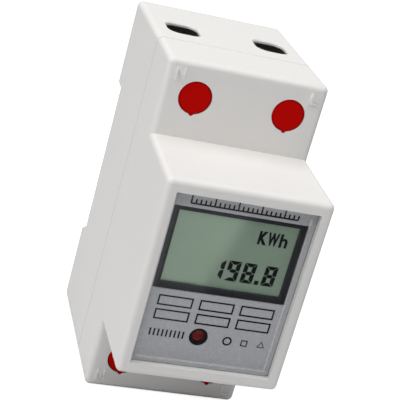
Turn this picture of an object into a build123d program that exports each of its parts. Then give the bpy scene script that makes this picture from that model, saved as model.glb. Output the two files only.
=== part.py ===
"""Two-module energy meter for a 35 mm top-hat rail.

X runs to the right seen from the front, -Y points forward and Z is up. The origin is the
centre of the rail seat, on the recess floor. All sizes are millimetres, and a depth is
counted forward from the rear plane of the housing.
"""
import math
import os

from build123d import *

# Outer form
body_width = 36.0
body_height = 80.0
shoulder_height = 17.55
shoulder_depth = 44.0
overall_depth = 66.8
block_draft = 0.5
edge_radius = 1.3
wall = 1.8
root_bite = 0.9
overrun = 2.0
round_wire_sides = 6

# Joint between the rear housing and the front cover
seam_depth = 29.5
seam_chamfer = 0.22
lip_height = 1.5
lip_thickness = 0.85
lip_gap = 0.1
snap_arm_width = 7.0
snap_arm_thickness = 1.15
snap_arm_reach = 9.5
snap_arm_root = 4.75
snap_barb = 0.6
snap_ramp = 1.8
snap_offset_z = 12.0
snap_gap = 0.15

# Rail seat: fixed hook above, sprung clip below
rail_height = 35.0
rail_flange = 1.0
rail_play = 0.2
seat_depth = 5.3
recess_room_above = 1.6
recess_room_below = 0.4
recess_lead_in = 3.3
hook_grip = 1.2
hook_width = 26.0
hook_thickness = 2.9
hook_nose = 1.0
hook_room = 0.3

# Rail clip and its spring
clip_width = 12.0
clip_thickness = 3.2
clip_nose = 1.1
clip_slope_foot = 0.8
clip_flange_width = 14.4
clip_flange_thickness = 1.1
clip_gap = 0.3
clip_window_width = 4.8
clip_bridge = 1.3
clip_window_end_gap = 0.15
clip_tail_setback = 0.4
clip_slot_width = 5.0
clip_slot_height = 1.4
spring_stop_offset = 5.4
spring_stop_thickness = 1.2
spring_wire = 0.5
spring_mean_radius = 1.55
spring_turns = 4
spring_peg_radius = 1.1
spring_peg_length = 1.8

# Terminals, two at the top end and two at the bottom
terminal_side_offset = 7.5
terminal_end_offset = 7.8
wire_hole_width = 7.6
wire_hole_height = 8.2
wire_hole_corner = 2.6
wire_hole_depth = 19.6
wire_hole_chamfer = 0.3
terminal_wall = 1.5
chamber_rib = 1.2
bar_width = 6.8
bar_thickness = 1.5
bar_margin = 0.6
bar_slot_gap = 0.2
bar_end_reach = 4.7
shunt_length = 8.0
cage_length = 9.0
cage_side_wall = 1.2
cage_floor = 1.4
cage_nut = 3.2
cage_side_room = 0.4
cage_rear_room = 0.8
cage_front_room = 0.3
cage_corner = 0.8
cage_gap = 0.15
cage_end_gap = 0.2
groove_count = 3
groove_pitch = 1.9
groove_depth = 0.3

# Clamp screws and the plugs over them
screw_radius = 2.45
thread_gap = 0.05
screw_tip_room = 0.5
head_radius = 3.3
head_height = 3.2
head_edge = 0.4
head_slot_width = 1.0
head_slot_depth = 1.4
head_cross_length = 4.0
head_side_room = 0.4
head_seat_gap = 0.1
head_shelf = 1.0
chimney_wall = 1.25
plug_depth = 2.3
plug_wall = 0.8
plug_gap = 0.08
plug_setback = 0.1
plug_edge = 0.3
plug_tab_radius = 0.5
plug_tab_inset = 0.2
plug_tab_thickness = 0.8
plug_room = 0.5

# Window, face plate and display
window_side_margin = 2.6
window_end_margin = 2.85
window_gap = 0.1
window_corner = 0.3
window_recess = 1.0
window_thickness = 1.5
window_bevel_width = 1.2
window_bevel_depth = 0.4
plate_gap = 0.05
plate_thickness = 0.5
floor_thickness = 1.2
display_side_margin = 0.9
display_top_share = 0.0855
display_bottom_share = 0.4324
collar_wall = 0.4
collar_gap = 0.05
view_side_margin = 1.4
view_end_margin = 1.3
bezel_flange = 0.5
bezel_wall = 1.3
glass_setback = 1.0
glass_side_lap = 1.2
glass_end_lap = 1.35
glass_sheet = 1.1
glass_ledge = 2.1
glass_gap = 0.15
strip_height = 6.1
strip_thickness = 1.8
strip_end_margin = 1.3

# Pulse lamp
lamp_x = -2.0
lamp_bottom_margin = 7.0
lamp_radius = 1.5
lamp_sleeve_wall = 0.4
lamp_sleeve_gap = 0.08
lamp_stand_off = 1.4
lamp_setback = 0.1
lamp_dome = 0.5
lamp_lead_pitch = 1.27

# Circuit board, hung on the front cover
board_thickness = 1.6
board_side_gap = 0.5
board_end_gap = 0.6
board_rib = 1.6
board_rib_length = 1.9
board_post_inset = 3.7
board_post_end_margin = 3.05
board_post_radius = 2.3
board_pilot_radius = 1.0
board_hole_radius = 1.5
board_screw_radius = 0.95
board_screw_length = 6.0
board_screw_head_radius = 2.1
board_screw_head_height = 1.5

# Parts soldered to the rear of the board, in three rows
part_margin = 0.9
part_edge = 0.4
film_capacitor_length = 15.0
film_capacitor_height = 12.5
film_capacitor_thickness = 7.0
can_radius = 3.5
can_height = 11.5
can_groove = 0.35
can_groove_offset = 1.4
varistor_radius = 4.6
varistor_thickness = 3.6
varistor_edge = 0.9
varistor_stand_off = 1.4
resistor_radius = 1.7
resistor_length = 8.6
resistor_lead_reach = 0.7
resistor_stand_off = 0.5
crystal_length = 10.4
crystal_height = 3.4
crystal_thickness = 4.4
crystal_flange = 0.25
crystal_flange_height = 0.5
part_lead = 0.5

# Chips, one on each face of the board
meter_chip_length = 9.9
meter_chip_width = 3.9
meter_chip_pins = 8
control_chip_width = 7.0
control_chip_x = 6.2
control_chip_pins = 5
chip_row_offset = 8.6
control_chip_offset = 10.25
chip_thickness = 1.4
chip_stand_off = 0.1
pin_reach = 1.0
pin_width = 0.35
pin_thickness = 0.2

# Leads from the bars to the board
lead_radius = 0.6
lead_rise_share = 0.44
lead_clearance = 1.0
lead_landing_x = -0.75
lead_pitch = 1.9
lead_tap_offset = 1.5
lead_bend_share = 0.45

# Places that follow from the sizes above
half_width = body_width / 2
half_height = body_height / 2
inner_x = half_width - wall
inner_z = half_height - wall
block_height = body_height - 2 * shoulder_height
block_inner_z = block_height / 2 - wall
recess_top = rail_height / 2 + recess_room_above
recess_bottom = rail_height / 2 + recess_room_below
bay_floor = seat_depth + wall

terminal_x = half_width - terminal_side_offset
terminal_z = half_height - terminal_end_offset
bar_rear = wire_hole_depth + wire_hole_height / 2 + bar_margin
bar_front = bar_rear + bar_thickness
cage_inner_rear = wire_hole_depth - wire_hole_height / 2 - cage_rear_room
cage_inner_front = bar_front + cage_front_room
cage_rear = cage_inner_rear - cage_floor
cage_front = cage_inner_front + cage_nut
cage_inner_width = bar_width + 2 * cage_side_room
cage_width = cage_inner_width + 2 * cage_side_wall
chamber_rear = cage_rear - 2 * cage_gap
chamber_inner_z = terminal_z - cage_length / 2 - cage_end_gap
bay_half_height = chamber_inner_z - terminal_wall

head_front = shoulder_depth - plug_setback - plug_depth - plug_room
head_rear = head_front - head_height
chimney_bore = head_radius + head_side_room
chimney_rear = head_rear - head_seat_gap - head_shelf

window_width = body_width - 2 * window_side_margin
window_height = block_height - 2 * window_end_margin
window_front = overall_depth - window_recess
window_rear = window_front - window_thickness
plate_front = window_rear - plate_gap
floor_front = plate_front - plate_thickness
floor_rear = floor_front - floor_thickness
display_top_margin = display_top_share * window_height
display_bottom_margin = display_bottom_share * window_height
aperture_width = window_width - 2 * display_side_margin
aperture_height = window_height - display_top_margin - display_bottom_margin
display_z = (display_bottom_margin - display_top_margin) / 2
view_width = aperture_width - 2 * view_side_margin
view_height = aperture_height - 2 * view_end_margin
glass_width = view_width + 2 * glass_side_lap
glass_height = view_height + 2 * glass_end_lap
glass_front = floor_front - glass_setback
bezel_width = glass_width + 2 * (glass_gap + bezel_wall)
bezel_height = glass_height + 2 * (glass_gap + bezel_wall)
strip_length = glass_width - 2 * strip_end_margin

lamp_z = lamp_bottom_margin - window_height / 2
sleeve_inner = lamp_radius + lamp_sleeve_gap
sleeve_outer = sleeve_inner + lamp_sleeve_wall
lamp_cap_radius = (lamp_radius**2 + lamp_dome**2) / (2 * lamp_dome)

board_front = glass_front - glass_sheet - strip_height
board_rear = board_front - board_thickness
board_half_width = inner_x - board_side_gap
board_half_height = block_inner_z - board_end_gap
board_post_x = board_half_width - board_post_inset
board_post_z = board_post_end_margin - board_half_height

row_left = part_margin - board_half_width
row_right = board_half_width - part_margin
upper_row_z = board_half_height - part_margin - film_capacitor_thickness / 2
chip_row_z = chip_row_offset - board_half_height
upper_row_foot = upper_row_z - film_capacitor_thickness / 2
chip_row_top = chip_row_z + meter_chip_width / 2 + pin_reach
middle_row_z = (upper_row_foot + chip_row_top) / 2
control_chip_z = control_chip_offset - board_half_height

lead_crossing_front = board_rear - film_capacitor_height - lead_clearance
lead_crossing_rear = bar_front + lead_rise_share * (lead_crossing_front - bar_front)

clip_front = seat_depth - rail_flange - rail_play - clip_gap
clip_rear = clip_front - clip_thickness
clip_nose_z = rail_height / 2 - hook_grip
clip_window_top = recess_bottom + recess_lead_in + clip_bridge
spring_stop_z = half_height - spring_stop_offset
spring_depth = (clip_front + clip_rear) / 2

ENDS = {"top": 1, "bottom": -1}
SIDES = {"neutral": -1, "line": 1}


def y_at(depth):
    """World Y of a depth counted forward from the rear plane."""
    return seat_depth - depth


def span(x_low, x_high, rear, front, z_low, z_high):
    """A box given by its limits across, in depth and in height."""
    size = Box(x_high - x_low, front - rear, z_high - z_low)
    return Pos((x_low + x_high) / 2, y_at((rear + front) / 2), (z_low + z_high) / 2) * size


def facing(depth, x=0.0, z=0.0):
    """The plane at a depth that faces the viewer."""
    return Plane(origin=(x, y_at(depth), z), x_dir=(1, 0, 0), z_dir=(0, -1, 0))


def slab(outline, rear, front, x=0.0, z=0.0):
    """A flat outline facing the viewer, carried from one depth to another."""
    return extrude(facing(rear, x, z) * outline, amount=front - rear)


def side_profile(points, width, x=0.0):
    """A closed outline of (depth, height) points, as wide as given about x."""
    outline = Polygon(*[(y_at(depth), z) for depth, z in points], align=None)
    return Pos(x, 0, 0) * extrude(Plane.YZ * outline, amount=width / 2, both=True)


def terminals():
    """Name, side and end of each of the four terminals."""
    for end, up in ENDS.items():
        for pole, side in SIDES.items():
            yield f"{pole}_{end}", side, up


def banded(low, high, up):
    """A height band above the middle, or its mirror below."""
    return (low, high) if up > 0 else (-high, -low)


def front_edges(solid):
    """The edges round a solid's foremost face."""
    return solid.faces().sort_by(Axis.Y)[0].edges()


def rear_edges(solid):
    """The edges round a solid's rearmost face."""
    return solid.faces().sort_by(Axis.Y)[-1].edges()


# Housing

def outer_body():
    """The closed outer form of both mouldings with its rounded edges."""
    half_front = block_height / 2
    half_root = half_front + block_draft
    body = side_profile(
        [
            (0, half_height),
            (shoulder_depth, half_height),
            (shoulder_depth, half_root),
            (overall_depth, half_front),
            (overall_depth, -half_front),
            (shoulder_depth, -half_root),
            (shoulder_depth, -half_height),
            (0, -half_height),
            (0, -recess_bottom - recess_lead_in),
            (seat_depth, -recess_bottom),
            (seat_depth, recess_top),
            (0, recess_top + hook_room),
        ],
        body_width,
    )

    def is_rounded(edge):
        """True on the outer corners and side outlines, false in the rail recess and steps."""
        middle = edge.center()
        depth = seat_depth - middle.Y
        on_side = abs(abs(middle.X) - half_width) < 1e-6
        in_recess = depth < seat_depth + 1e-6 and abs(middle.Z) < recess_bottom + recess_lead_in
        at_end = abs(abs(middle.Z) - half_height) < 1e-6
        at_front = abs(depth - overall_depth) < 1e-6
        return (on_side and not in_recess) or at_end or at_front

    return fillet([edge for edge in body.edges() if is_rounded(edge)], edge_radius)


def break_seam(half):
    """A fine chamfer round a moulding where it meets the other at the seam."""
    seam_y = y_at(seam_depth)
    edges = [e for e in half.edges() if abs(e.bounding_box().min.Y - seam_y) < 1e-6
             and abs(e.bounding_box().max.Y - seam_y) < 1e-6]
    return chamfer(edges, seam_chamfer)


def rail_hook():
    """The fixed lip that grips behind the rail's upper flange."""
    grip_z = rail_height / 2 - hook_grip
    seat_z = rail_height / 2 + hook_room
    lip_front = seat_depth - rail_flange - rail_play
    lip_rear = lip_front - hook_thickness
    return side_profile(
        [
            (seat_depth + root_bite, recess_top + wall),
            (seat_depth + root_bite, seat_z),
            (lip_front, seat_z),
            (lip_front, grip_z),
            (lip_front - hook_nose, grip_z),
            (lip_rear, seat_z),
            (lip_rear, recess_top + wall),
        ],
        hook_width,
    )


def clip_channel():
    """The T-shaped slideway cut for the rail clip, open at the bottom end."""
    low = -half_height - overrun
    high = -clip_nose_z
    floor = clip_front + clip_gap
    flange_rear = clip_front - clip_flange_thickness - clip_gap
    throat_half = clip_width / 2 + clip_gap
    flange_half = clip_flange_width / 2 + clip_gap
    throat = span(-throat_half, throat_half, -overrun, floor, low, high)
    return throat + span(-flange_half, flange_half, flange_rear, floor, low, high)


def rear_coring():
    """Pockets that keep the rear walls even, open to the back."""
    centre_half = terminal_x - cage_width / 2 - chamber_rib / 2
    side_left = centre_half + chamber_rib
    clip_side = clip_flange_width / 2 + clip_gap + chamber_rib
    above_recess = recess_top + wall
    below_recess = -recess_bottom - recess_lead_in - wall
    pockets = [span(-centre_half, centre_half, -overrun, seat_depth, above_recess, inner_z)]
    for side in SIDES.values():
        left, right = sorted((side * side_left, side * inner_x))
        pockets.append(span(left, right, -overrun, seat_depth, above_recess, inner_z))
        pockets.append(span(left, right, -overrun, chamber_rear - wall, chamber_inner_z, inner_z))
        left, right = sorted((side * clip_side, side * inner_x))
        pockets.append(span(left, right, -overrun, seat_depth, -inner_z, below_recess))
        pockets.append(span(left, right, -overrun, chamber_rear - wall, -inner_z, -chamber_inner_z))
    return pockets


def rear_housing():
    """The rear moulding: rail seat, terminal chambers and the half that holds the bars."""
    shell = outer_body() & span(-body_width, body_width, -overrun, seam_depth, -body_height, body_height)
    shell = break_seam(shell)
    shell -= span(-inner_x, inner_x, bay_floor, seam_depth, -bay_half_height, bay_half_height)
    centre_half = terminal_x - cage_width / 2 - cage_gap - chamber_rib
    chamber_half = cage_width / 2 + cage_gap
    for up in ENDS.values():
        low, high = banded(chamber_inner_z, inner_z, up)
        shell -= span(-centre_half, centre_half, bay_floor, seam_depth, low, high)
    for name, side, up in terminals():
        x = side * terminal_x
        low, high = banded(chamber_inner_z, inner_z, up)
        shell -= span(x - chamber_half, x + chamber_half, chamber_rear, seam_depth, low, high)
        shell -= wire_entry(x, up)
        slot_half = bar_width / 2 + bar_slot_gap
        low, high = banded(bay_half_height - overrun, chamber_inner_z + overrun, up)
        shell -= span(x - slot_half, x + slot_half, bar_rear, seam_depth, low, high)
    for pocket in rear_coring():
        shell -= pocket
    shell += rail_hook()
    shell -= clip_channel()
    shell += spring_stop()
    lip = span(-inner_x - lip_thickness, inner_x + lip_thickness, seam_depth - root_bite,
               seam_depth + lip_height, -inner_z - lip_thickness, inner_z + lip_thickness)
    lip -= span(-inner_x, inner_x, 0, overall_depth, -inner_z, inner_z)
    shell += lip
    for side, z in snap_places():
        shell -= snap_pocket(side, z)
    return shell


def wire_entry(x, up):
    """The rounded hole through an end wall, with its softened mouth."""
    mouth_z = up * half_height
    across = Plane(origin=(x, y_at(wire_hole_depth), mouth_z), x_dir=(1, 0, 0), z_dir=(0, 0, up))
    hole = RectangleRounded(wire_hole_width, wire_hole_height, wire_hole_corner)
    throat = extrude(across * hole, amount=-wall - edge_radius)
    wide = offset(hole, wire_hole_chamfer)
    mouth = loft([across * wide, across.offset(-wire_hole_chamfer) * hole])
    return throat + mouth


def spring_stop():
    """The abutment under the clip spring, with the peg that centres it."""
    floor = clip_front + clip_gap
    half = clip_window_width / 2 - clip_gap
    low = -spring_stop_z - spring_stop_thickness
    stop = span(-half, half, clip_rear + clip_gap, floor + clip_gap, low, -spring_stop_z)
    peg = Cylinder(spring_peg_radius, spring_peg_length, align=(Align.CENTER, Align.CENTER, Align.MIN))
    return stop + Pos(0, y_at(spring_depth), -spring_stop_z) * peg


def snap_places():
    """Side and height of each of the four snap arms."""
    return [(side, up * snap_offset_z) for side in SIDES.values() for up in ENDS.values()]


def snap_pocket(side, z):
    """The blind pocket in a side wall that a snap barb drops into."""
    rear = seam_depth - snap_arm_reach + snap_gap
    front = rear + snap_ramp + snap_arm_thickness
    left, right = sorted((side * (inner_x - overrun), side * (inner_x + snap_barb)))
    half = snap_arm_width / 2 + snap_gap
    return span(left, right, rear, front, z - half, z + half)


def snap_arm(side, z):
    """One cantilever arm with its barb, rooted on the cover's side wall."""
    outer = inner_x - snap_gap
    tip = seam_depth - snap_arm_reach
    root_rear = seam_depth + lip_height + lip_gap + snap_gap
    root_front = root_rear + snap_arm_root
    barb_depth = tip + snap_ramp
    outline = Polygon(
        (outer - snap_arm_thickness, y_at(root_front)),
        (outer - snap_arm_thickness, y_at(tip)),
        (outer, y_at(tip)),
        (outer + snap_barb, y_at(barb_depth)),
        (outer, y_at(barb_depth + snap_barb)),
        (outer, y_at(root_rear)),
        (inner_x + root_bite, y_at(root_rear)),
        (inner_x + root_bite, y_at(root_front)),
        align=None,
    )
    arm = Pos(0, 0, z) * extrude(outline, amount=snap_arm_width / 2, both=True)
    return arm if side > 0 else mirror(arm, about=Plane.YZ)


def front_cover():
    """The front moulding: shoulders with screw access, and the display block."""
    front_half = span(-body_width, body_width, seam_depth, overall_depth + overrun, -body_height, body_height)
    shell = break_seam(outer_body() & front_half)
    shell -= span(-inner_x, inner_x, seam_depth, shoulder_depth - wall, -inner_z, inner_z)
    shell -= span(-inner_x, inner_x, seam_depth, floor_rear, -block_inner_z, block_inner_z)
    rebate_x = inner_x + lip_thickness + lip_gap
    rebate_z = inner_z + lip_thickness + lip_gap
    rebate_front = seam_depth + lip_height + lip_gap
    shell -= span(-rebate_x, rebate_x, seam_depth, rebate_front, -rebate_z, rebate_z)
    pocket = RectangleRounded(window_width + 2 * window_gap, window_height + 2 * window_gap, window_corner)
    shell -= slab(pocket, floor_front, overall_depth + overrun)
    collar_room = 2 * (collar_wall + collar_gap)
    collar_hole = Rectangle(aperture_width + collar_room, aperture_height + collar_room)
    shell -= slab(collar_hole, floor_rear - overrun, floor_front + overrun, z=display_z)
    lamp_hole = Circle(sleeve_outer + lamp_sleeve_gap)
    shell -= slab(lamp_hole, floor_rear - overrun, floor_front + overrun, lamp_x, lamp_z)
    for name, side, up in terminals():
        shell = add_chimney(shell, side * terminal_x, up * terminal_z)
        shell += bar_keeper(side * terminal_x, up)
    for side, z in snap_places():
        shell += snap_arm(side, z)
    for support in board_supports():
        shell += support
    for side in SIDES.values():
        shell -= slab(Circle(board_pilot_radius), board_front, floor_rear, side * board_post_x, board_post_z)
    return shell


def add_chimney(shell, x, z):
    """Add the tube that guides a clamp screw's head behind its access hole."""
    outer = chimney_bore + chimney_wall
    shell += slab(Circle(outer), chimney_rear, shoulder_depth - root_bite, x, z)
    shell -= slab(Circle(chimney_bore), chimney_rear + head_shelf, shoulder_depth + overrun, x, z)
    shell -= slab(Circle(screw_radius + head_side_room), chimney_rear - overrun, shoulder_depth, x, z)
    tab_z = z - chimney_bore + plug_tab_inset
    notch = Circle(plug_tab_radius + plug_gap)
    notch_rear = shoulder_depth - plug_setback - plug_tab_thickness
    return shell - slab(notch, notch_rear, shoulder_depth + overrun, x, tab_z)


def bar_keeper(x, up):
    """The tongue that closes a bar's slot and holds the bar down."""
    half = bar_width / 2
    low, high = banded(bay_half_height + cage_gap, chamber_inner_z - cage_gap, up)
    return span(x - half, x + half, bar_front + cage_gap, shoulder_depth - root_bite, low, high)


def board_supports():
    """Ribs on the side walls and two screw posts that the circuit board bears on."""
    front = floor_rear + floor_thickness / 2
    supports = []
    for side in SIDES.values():
        left, right = sorted((side * (inner_x - board_rib), side * (inner_x + root_bite)))
        supports.append(span(left, right, board_front, front,
                             block_inner_z - board_rib_length, block_inner_z + root_bite))
        supports.append(slab(Circle(board_post_radius), board_front, front,
                             side * board_post_x, board_post_z))
        left, right = sorted((side * board_post_x, side * (inner_x + root_bite)))
        supports.append(span(left, right, board_front, front,
                             board_post_z - board_rib / 2, board_post_z + board_rib / 2))
    return supports


# Rail clip

def rail_clip():
    """The sprung slide that grips the rail's lower flange, drawn down to release."""
    half = clip_width / 2
    tail = -half_height + clip_tail_setback
    shoulder_z = -clip_nose_z - clip_thickness
    clip = span(-half, half, clip_rear, clip_front, tail, shoulder_z)
    flange_half = clip_flange_width / 2
    flange_rear = clip_front - clip_flange_thickness
    clip += span(-flange_half, flange_half, flange_rear, clip_front, tail, -recess_bottom - recess_lead_in)
    clip += side_profile(
        [
            (clip_front, shoulder_z),
            (clip_front, -clip_nose_z),
            (clip_front - clip_nose, -clip_nose_z),
            (clip_rear, shoulder_z + clip_slope_foot),
            (clip_rear, shoulder_z),
        ],
        clip_width,
    )
    window_low = -spring_stop_z - spring_stop_thickness - clip_window_end_gap
    window_half = clip_window_width / 2
    clip -= span(-window_half, window_half, -overrun, bay_floor, window_low, -clip_window_top)
    slot_half = clip_slot_width / 2
    slot_low = tail + clip_slot_height
    clip -= span(-slot_half, slot_half, -overrun, bay_floor, slot_low, slot_low + clip_slot_height)
    peg = Cylinder(spring_peg_radius, spring_peg_length, align=(Align.CENTER, Align.CENTER, Align.MAX))
    return clip + Pos(0, y_at(spring_depth), -clip_window_top) * peg


def clip_spring():
    """The round-wire compression spring between the housing's stop and the clip."""
    free_height = spring_stop_z - clip_window_top - spring_wire
    path = Helix(free_height / spring_turns, free_height, spring_mean_radius)
    section = Plane(origin=path @ 0, z_dir=path % 0) * RegularPolygon(spring_wire / 2, round_wire_sides)
    coil = sweep(section, path=path)
    return Pos(0, y_at(spring_depth), -spring_stop_z + spring_wire / 2) * coil


# Terminals

def grip_grooves(x, z, depth):
    """The row of V-grooves across a clamping face that keeps a conductor from slipping."""
    side = groove_depth * math.sqrt(2)
    groove = Rot(45, 0, 0) * Box(bar_width + overrun, side, side)
    middle = (groove_count - 1) / 2
    return [Pos(x, y_at(depth), z + (index - middle) * groove_pitch) * groove
            for index in range(groove_count)]


def clamp_cage(x, up):
    """The rising cage: a closed frame round wire and bar, with the nut in its front."""
    middle = (cage_rear + cage_front) / 2
    across = Plane(origin=(x, y_at(middle), up * terminal_z), x_dir=(1, 0, 0), z_dir=(0, 0, 1))
    ring = RectangleRounded(cage_width, cage_front - cage_rear, cage_corner)
    cage = extrude(across * ring, amount=cage_length / 2, both=True)
    low, high = sorted((up * (terminal_z - cage_length), up * (terminal_z + cage_length)))
    half = cage_inner_width / 2
    cage -= span(x - half, x + half, cage_inner_rear, cage_inner_front, low, high)
    thread = Circle(screw_radius + thread_gap)
    cage -= slab(thread, cage_inner_front - overrun, cage_front + overrun, x, up * terminal_z)
    grooves = [groove & span(x - half, x + half, cage_rear, cage_front, low, high)
               for groove in grip_grooves(x, up * terminal_z, cage_inner_rear)]
    return cage - grooves


def clamp_screw(x, z):
    """The captive screw: slotted head on its shelf, shank through the cage's nut."""
    tip = bar_front + screw_tip_room
    shank = slab(Circle(screw_radius), tip, head_rear + head_height / 2, x, z)
    head = slab(Circle(head_radius), head_rear, head_front, x, z)
    head = chamfer(front_edges(head), head_edge)
    slot_rear = head_front - head_slot_depth
    for width, height in ((2 * chimney_bore, head_slot_width), (head_slot_width, head_cross_length)):
        head -= slab(Rectangle(width, height), slot_rear, head_front + overrun, x, z)
    return shank + head


def screw_plug(x, z):
    """The red cup pressed into a screw's access hole, with its small pull tab."""
    front = shoulder_depth - plug_setback
    radius = chimney_bore - plug_gap
    plug = slab(Circle(radius), front - plug_depth, front, x, z)
    plug = chamfer(front_edges(plug), plug_edge)
    tab_z = z - chimney_bore + plug_tab_inset
    plug += slab(Circle(plug_tab_radius), front - plug_tab_thickness + plug_gap, front, x, tab_z)
    return plug - slab(Circle(radius - plug_wall), front - plug_depth, front - plug_wall, x, z)


def bar(x, z_low, z_high, gripped_ends=()):
    """A straight flat conductor in the housing's slots, grooved where a wire is clamped."""
    strip = span(x - bar_width / 2, x + bar_width / 2, bar_rear, bar_front, z_low, z_high)
    for up in gripped_ends:
        strip -= grip_grooves(x, up * terminal_z, bar_rear)
    return strip


# Window and display

def display_window():
    """The clear plate set into the block's face, bevelled round its front."""
    outline = RectangleRounded(window_width, window_height, window_corner)
    inset = 2 * window_bevel_width
    raised = RectangleRounded(window_width - inset, window_height - inset, window_corner)
    bevel_rear = window_front - window_bevel_depth
    bevel = loft([facing(bevel_rear) * outline, facing(window_front) * raised])
    return slab(outline, window_rear, bevel_rear) + bevel


def face_plate():
    """The silver-grey plate behind the window, open at the display and the lamp."""
    sheet = slab(RectangleRounded(window_width, window_height, window_corner), floor_front, plate_front)
    sheet -= slab(Rectangle(aperture_width, aperture_height), floor_rear, window_front, z=display_z)
    return sheet - slab(Circle(sleeve_outer + lamp_sleeve_gap), floor_rear, window_front, lamp_x, lamp_z)


def lcd_bezel():
    """The black frame that holds the glass and its contact strips against the board."""
    frame = slab(Rectangle(bezel_width, bezel_height), board_front, floor_rear, z=display_z)
    collar = Rectangle(aperture_width + 2 * collar_wall, aperture_height + 2 * collar_wall)
    frame += slab(collar, floor_rear - bezel_flange, floor_front, z=display_z)
    pocket = Rectangle(glass_width + 2 * glass_gap, glass_height + 2 * glass_gap)
    frame -= slab(pocket, board_front - overrun, glass_front, z=display_z)
    frame -= slab(Rectangle(view_width, view_height), board_front, plate_front, z=display_z)
    opening = Rectangle(aperture_width, aperture_height)
    return frame - slab(opening, glass_front + bezel_flange, plate_front, z=display_z)


def lcd_panel():
    """The display glass: a full front sheet and a shorter rear one that bares the contacts."""
    front = slab(Rectangle(glass_width, glass_height), glass_front - glass_sheet, glass_front, z=display_z)
    rear_height = glass_height - 2 * glass_ledge
    rear = slab(Rectangle(glass_width, rear_height), glass_front - 2 * glass_sheet, glass_front, z=display_z)
    return front + rear


def contact_strip(up):
    """One rubber strip from the glass's ledge down to the board."""
    z = display_z + up * (glass_height / 2 - glass_ledge / 2)
    return slab(Rectangle(strip_length, strip_thickness), board_front, glass_front - glass_sheet, z=z)


def pulse_lamp():
    """The red lamp on its two leads, with a shallow dome behind the window."""
    base = board_front + lamp_stand_off
    top = plate_front - lamp_setback
    lamp = slab(Circle(lamp_radius), base, top - lamp_dome, lamp_x, lamp_z)
    ball = Pos(lamp_x, y_at(top - lamp_cap_radius), lamp_z) * Sphere(lamp_cap_radius)
    lamp += slab(Circle(lamp_radius), top - lamp_dome, top, lamp_x, lamp_z) & ball
    for side in SIDES.values():
        x = lamp_x + side * lamp_lead_pitch / 2
        lamp += slab(Rectangle(part_lead, part_lead), board_front, base + part_lead, x, lamp_z)
    return lamp


def lamp_sleeve():
    """The black spacer tube round the lamp."""
    ring = Circle(sleeve_outer) - Circle(sleeve_inner)
    return slab(ring, board_front, plate_front, lamp_x, lamp_z)


# Circuit board

def main_board():
    """The fibreglass board with its two screw holes."""
    outline = Rectangle(2 * board_half_width, 2 * board_half_height)
    for side in SIDES.values():
        outline -= Pos(side * board_post_x, board_post_z) * Circle(board_hole_radius)
    return slab(outline, board_rear, board_front)


def board_screws():
    """The two screws that hold the board to the cover's posts."""
    screws = []
    for side in SIDES.values():
        x = side * board_post_x
        head_rear_depth = board_rear - board_screw_head_height
        head = slab(Circle(board_screw_head_radius), head_rear_depth, board_rear, x, board_post_z)
        shank_front = board_rear + board_screw_length
        screws.append(head + slab(Circle(board_screw_radius), board_rear, shank_front, x, board_post_z))
    return Compound(children=screws)


def film_capacitor():
    """The mains dropper capacitor, a potted box standing on the board."""
    x = row_left + film_capacitor_length / 2
    outline = Rectangle(film_capacitor_length, film_capacitor_thickness)
    box = slab(outline, board_rear - film_capacitor_height, board_rear, x, upper_row_z)
    return chamfer(box.edges().filter_by(Axis.Y), part_edge)


def smoothing_capacitor():
    """The electrolytic can with its rolled groove and scored top."""
    x = row_right - can_radius
    rear = board_rear - can_height
    can = slab(Circle(can_radius), rear, board_rear, x, upper_row_z)
    can = chamfer(rear_edges(can), part_edge)
    groove_front = board_rear - can_groove_offset
    groove = Circle(can_radius) - Circle(can_radius - can_groove)
    can -= slab(groove, groove_front - 2 * can_groove, groove_front, x, upper_row_z)
    score = Rectangle(2 * can_radius, can_groove)
    return can - slab(score, rear - overrun, rear + can_groove / 2, x, upper_row_z)


def surge_varistor():
    """The coated disc across the supply, standing on its two leads."""
    x = row_left + varistor_radius
    centre_depth = board_rear - varistor_stand_off - varistor_radius
    disc = Pos(x, y_at(centre_depth), middle_row_z) * Cylinder(varistor_radius, varistor_thickness)
    disc = chamfer(disc.edges(), varistor_edge)
    for side in SIDES.values():
        lead_x = x + side * varistor_radius / 2
        disc += slab(Rectangle(part_lead, part_lead), centre_depth, board_rear, lead_x, middle_row_z)
    return disc


def power_resistor():
    """The flame-proof resistor lying above the board on its bent leads."""
    reach = resistor_length / 2 + resistor_lead_reach
    x = row_right - reach - part_lead / 2
    axis_depth = board_rear - resistor_stand_off - resistor_radius
    along = Pos(x, y_at(axis_depth), middle_row_z) * Rot(0, 90, 0)
    body = chamfer((along * Cylinder(resistor_radius, resistor_length)).edges(), part_edge)
    body += along * Box(part_lead, part_lead, 2 * reach)
    for side in SIDES.values():
        leg = Rectangle(part_lead, part_lead)
        body += slab(leg, axis_depth - part_lead / 2, board_rear, x + side * reach, middle_row_z)
    return body


def timing_crystal():
    """The low metal can of the crystal."""
    x = row_right - crystal_length / 2 - crystal_flange
    can = slab(SlotOverall(crystal_length, crystal_thickness), board_rear - crystal_height, board_rear,
               x, chip_row_z)
    can = chamfer(rear_edges(can), part_edge)
    flange = SlotOverall(crystal_length + 2 * crystal_flange, crystal_thickness + 2 * crystal_flange)
    return can + slab(flange, board_rear - crystal_flange_height, board_rear, x, chip_row_z)


def chip(size, place, pins, sides_with_pins, surface, outward):
    """A moulded chip with bent pins, on the face of the board that outward points from."""
    width, height = size
    x, z = place
    near = surface + outward * chip_stand_off
    far = near + outward * chip_thickness
    rear, front = sorted((near, far))
    body = slab(Rectangle(width, height), rear, front, x, z)
    mid = (near + far) / 2
    for angle in sides_with_pins:
        along = width if angle % 180 == 0 else height
        across = height if angle % 180 == 0 else width
        pitch = along / pins
        for index in range(pins):
            offset_along = (index - (pins - 1) / 2) * pitch
            body += chip_pin(offset_along, across / 2, angle, (x, z), surface, mid)
    return body


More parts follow.
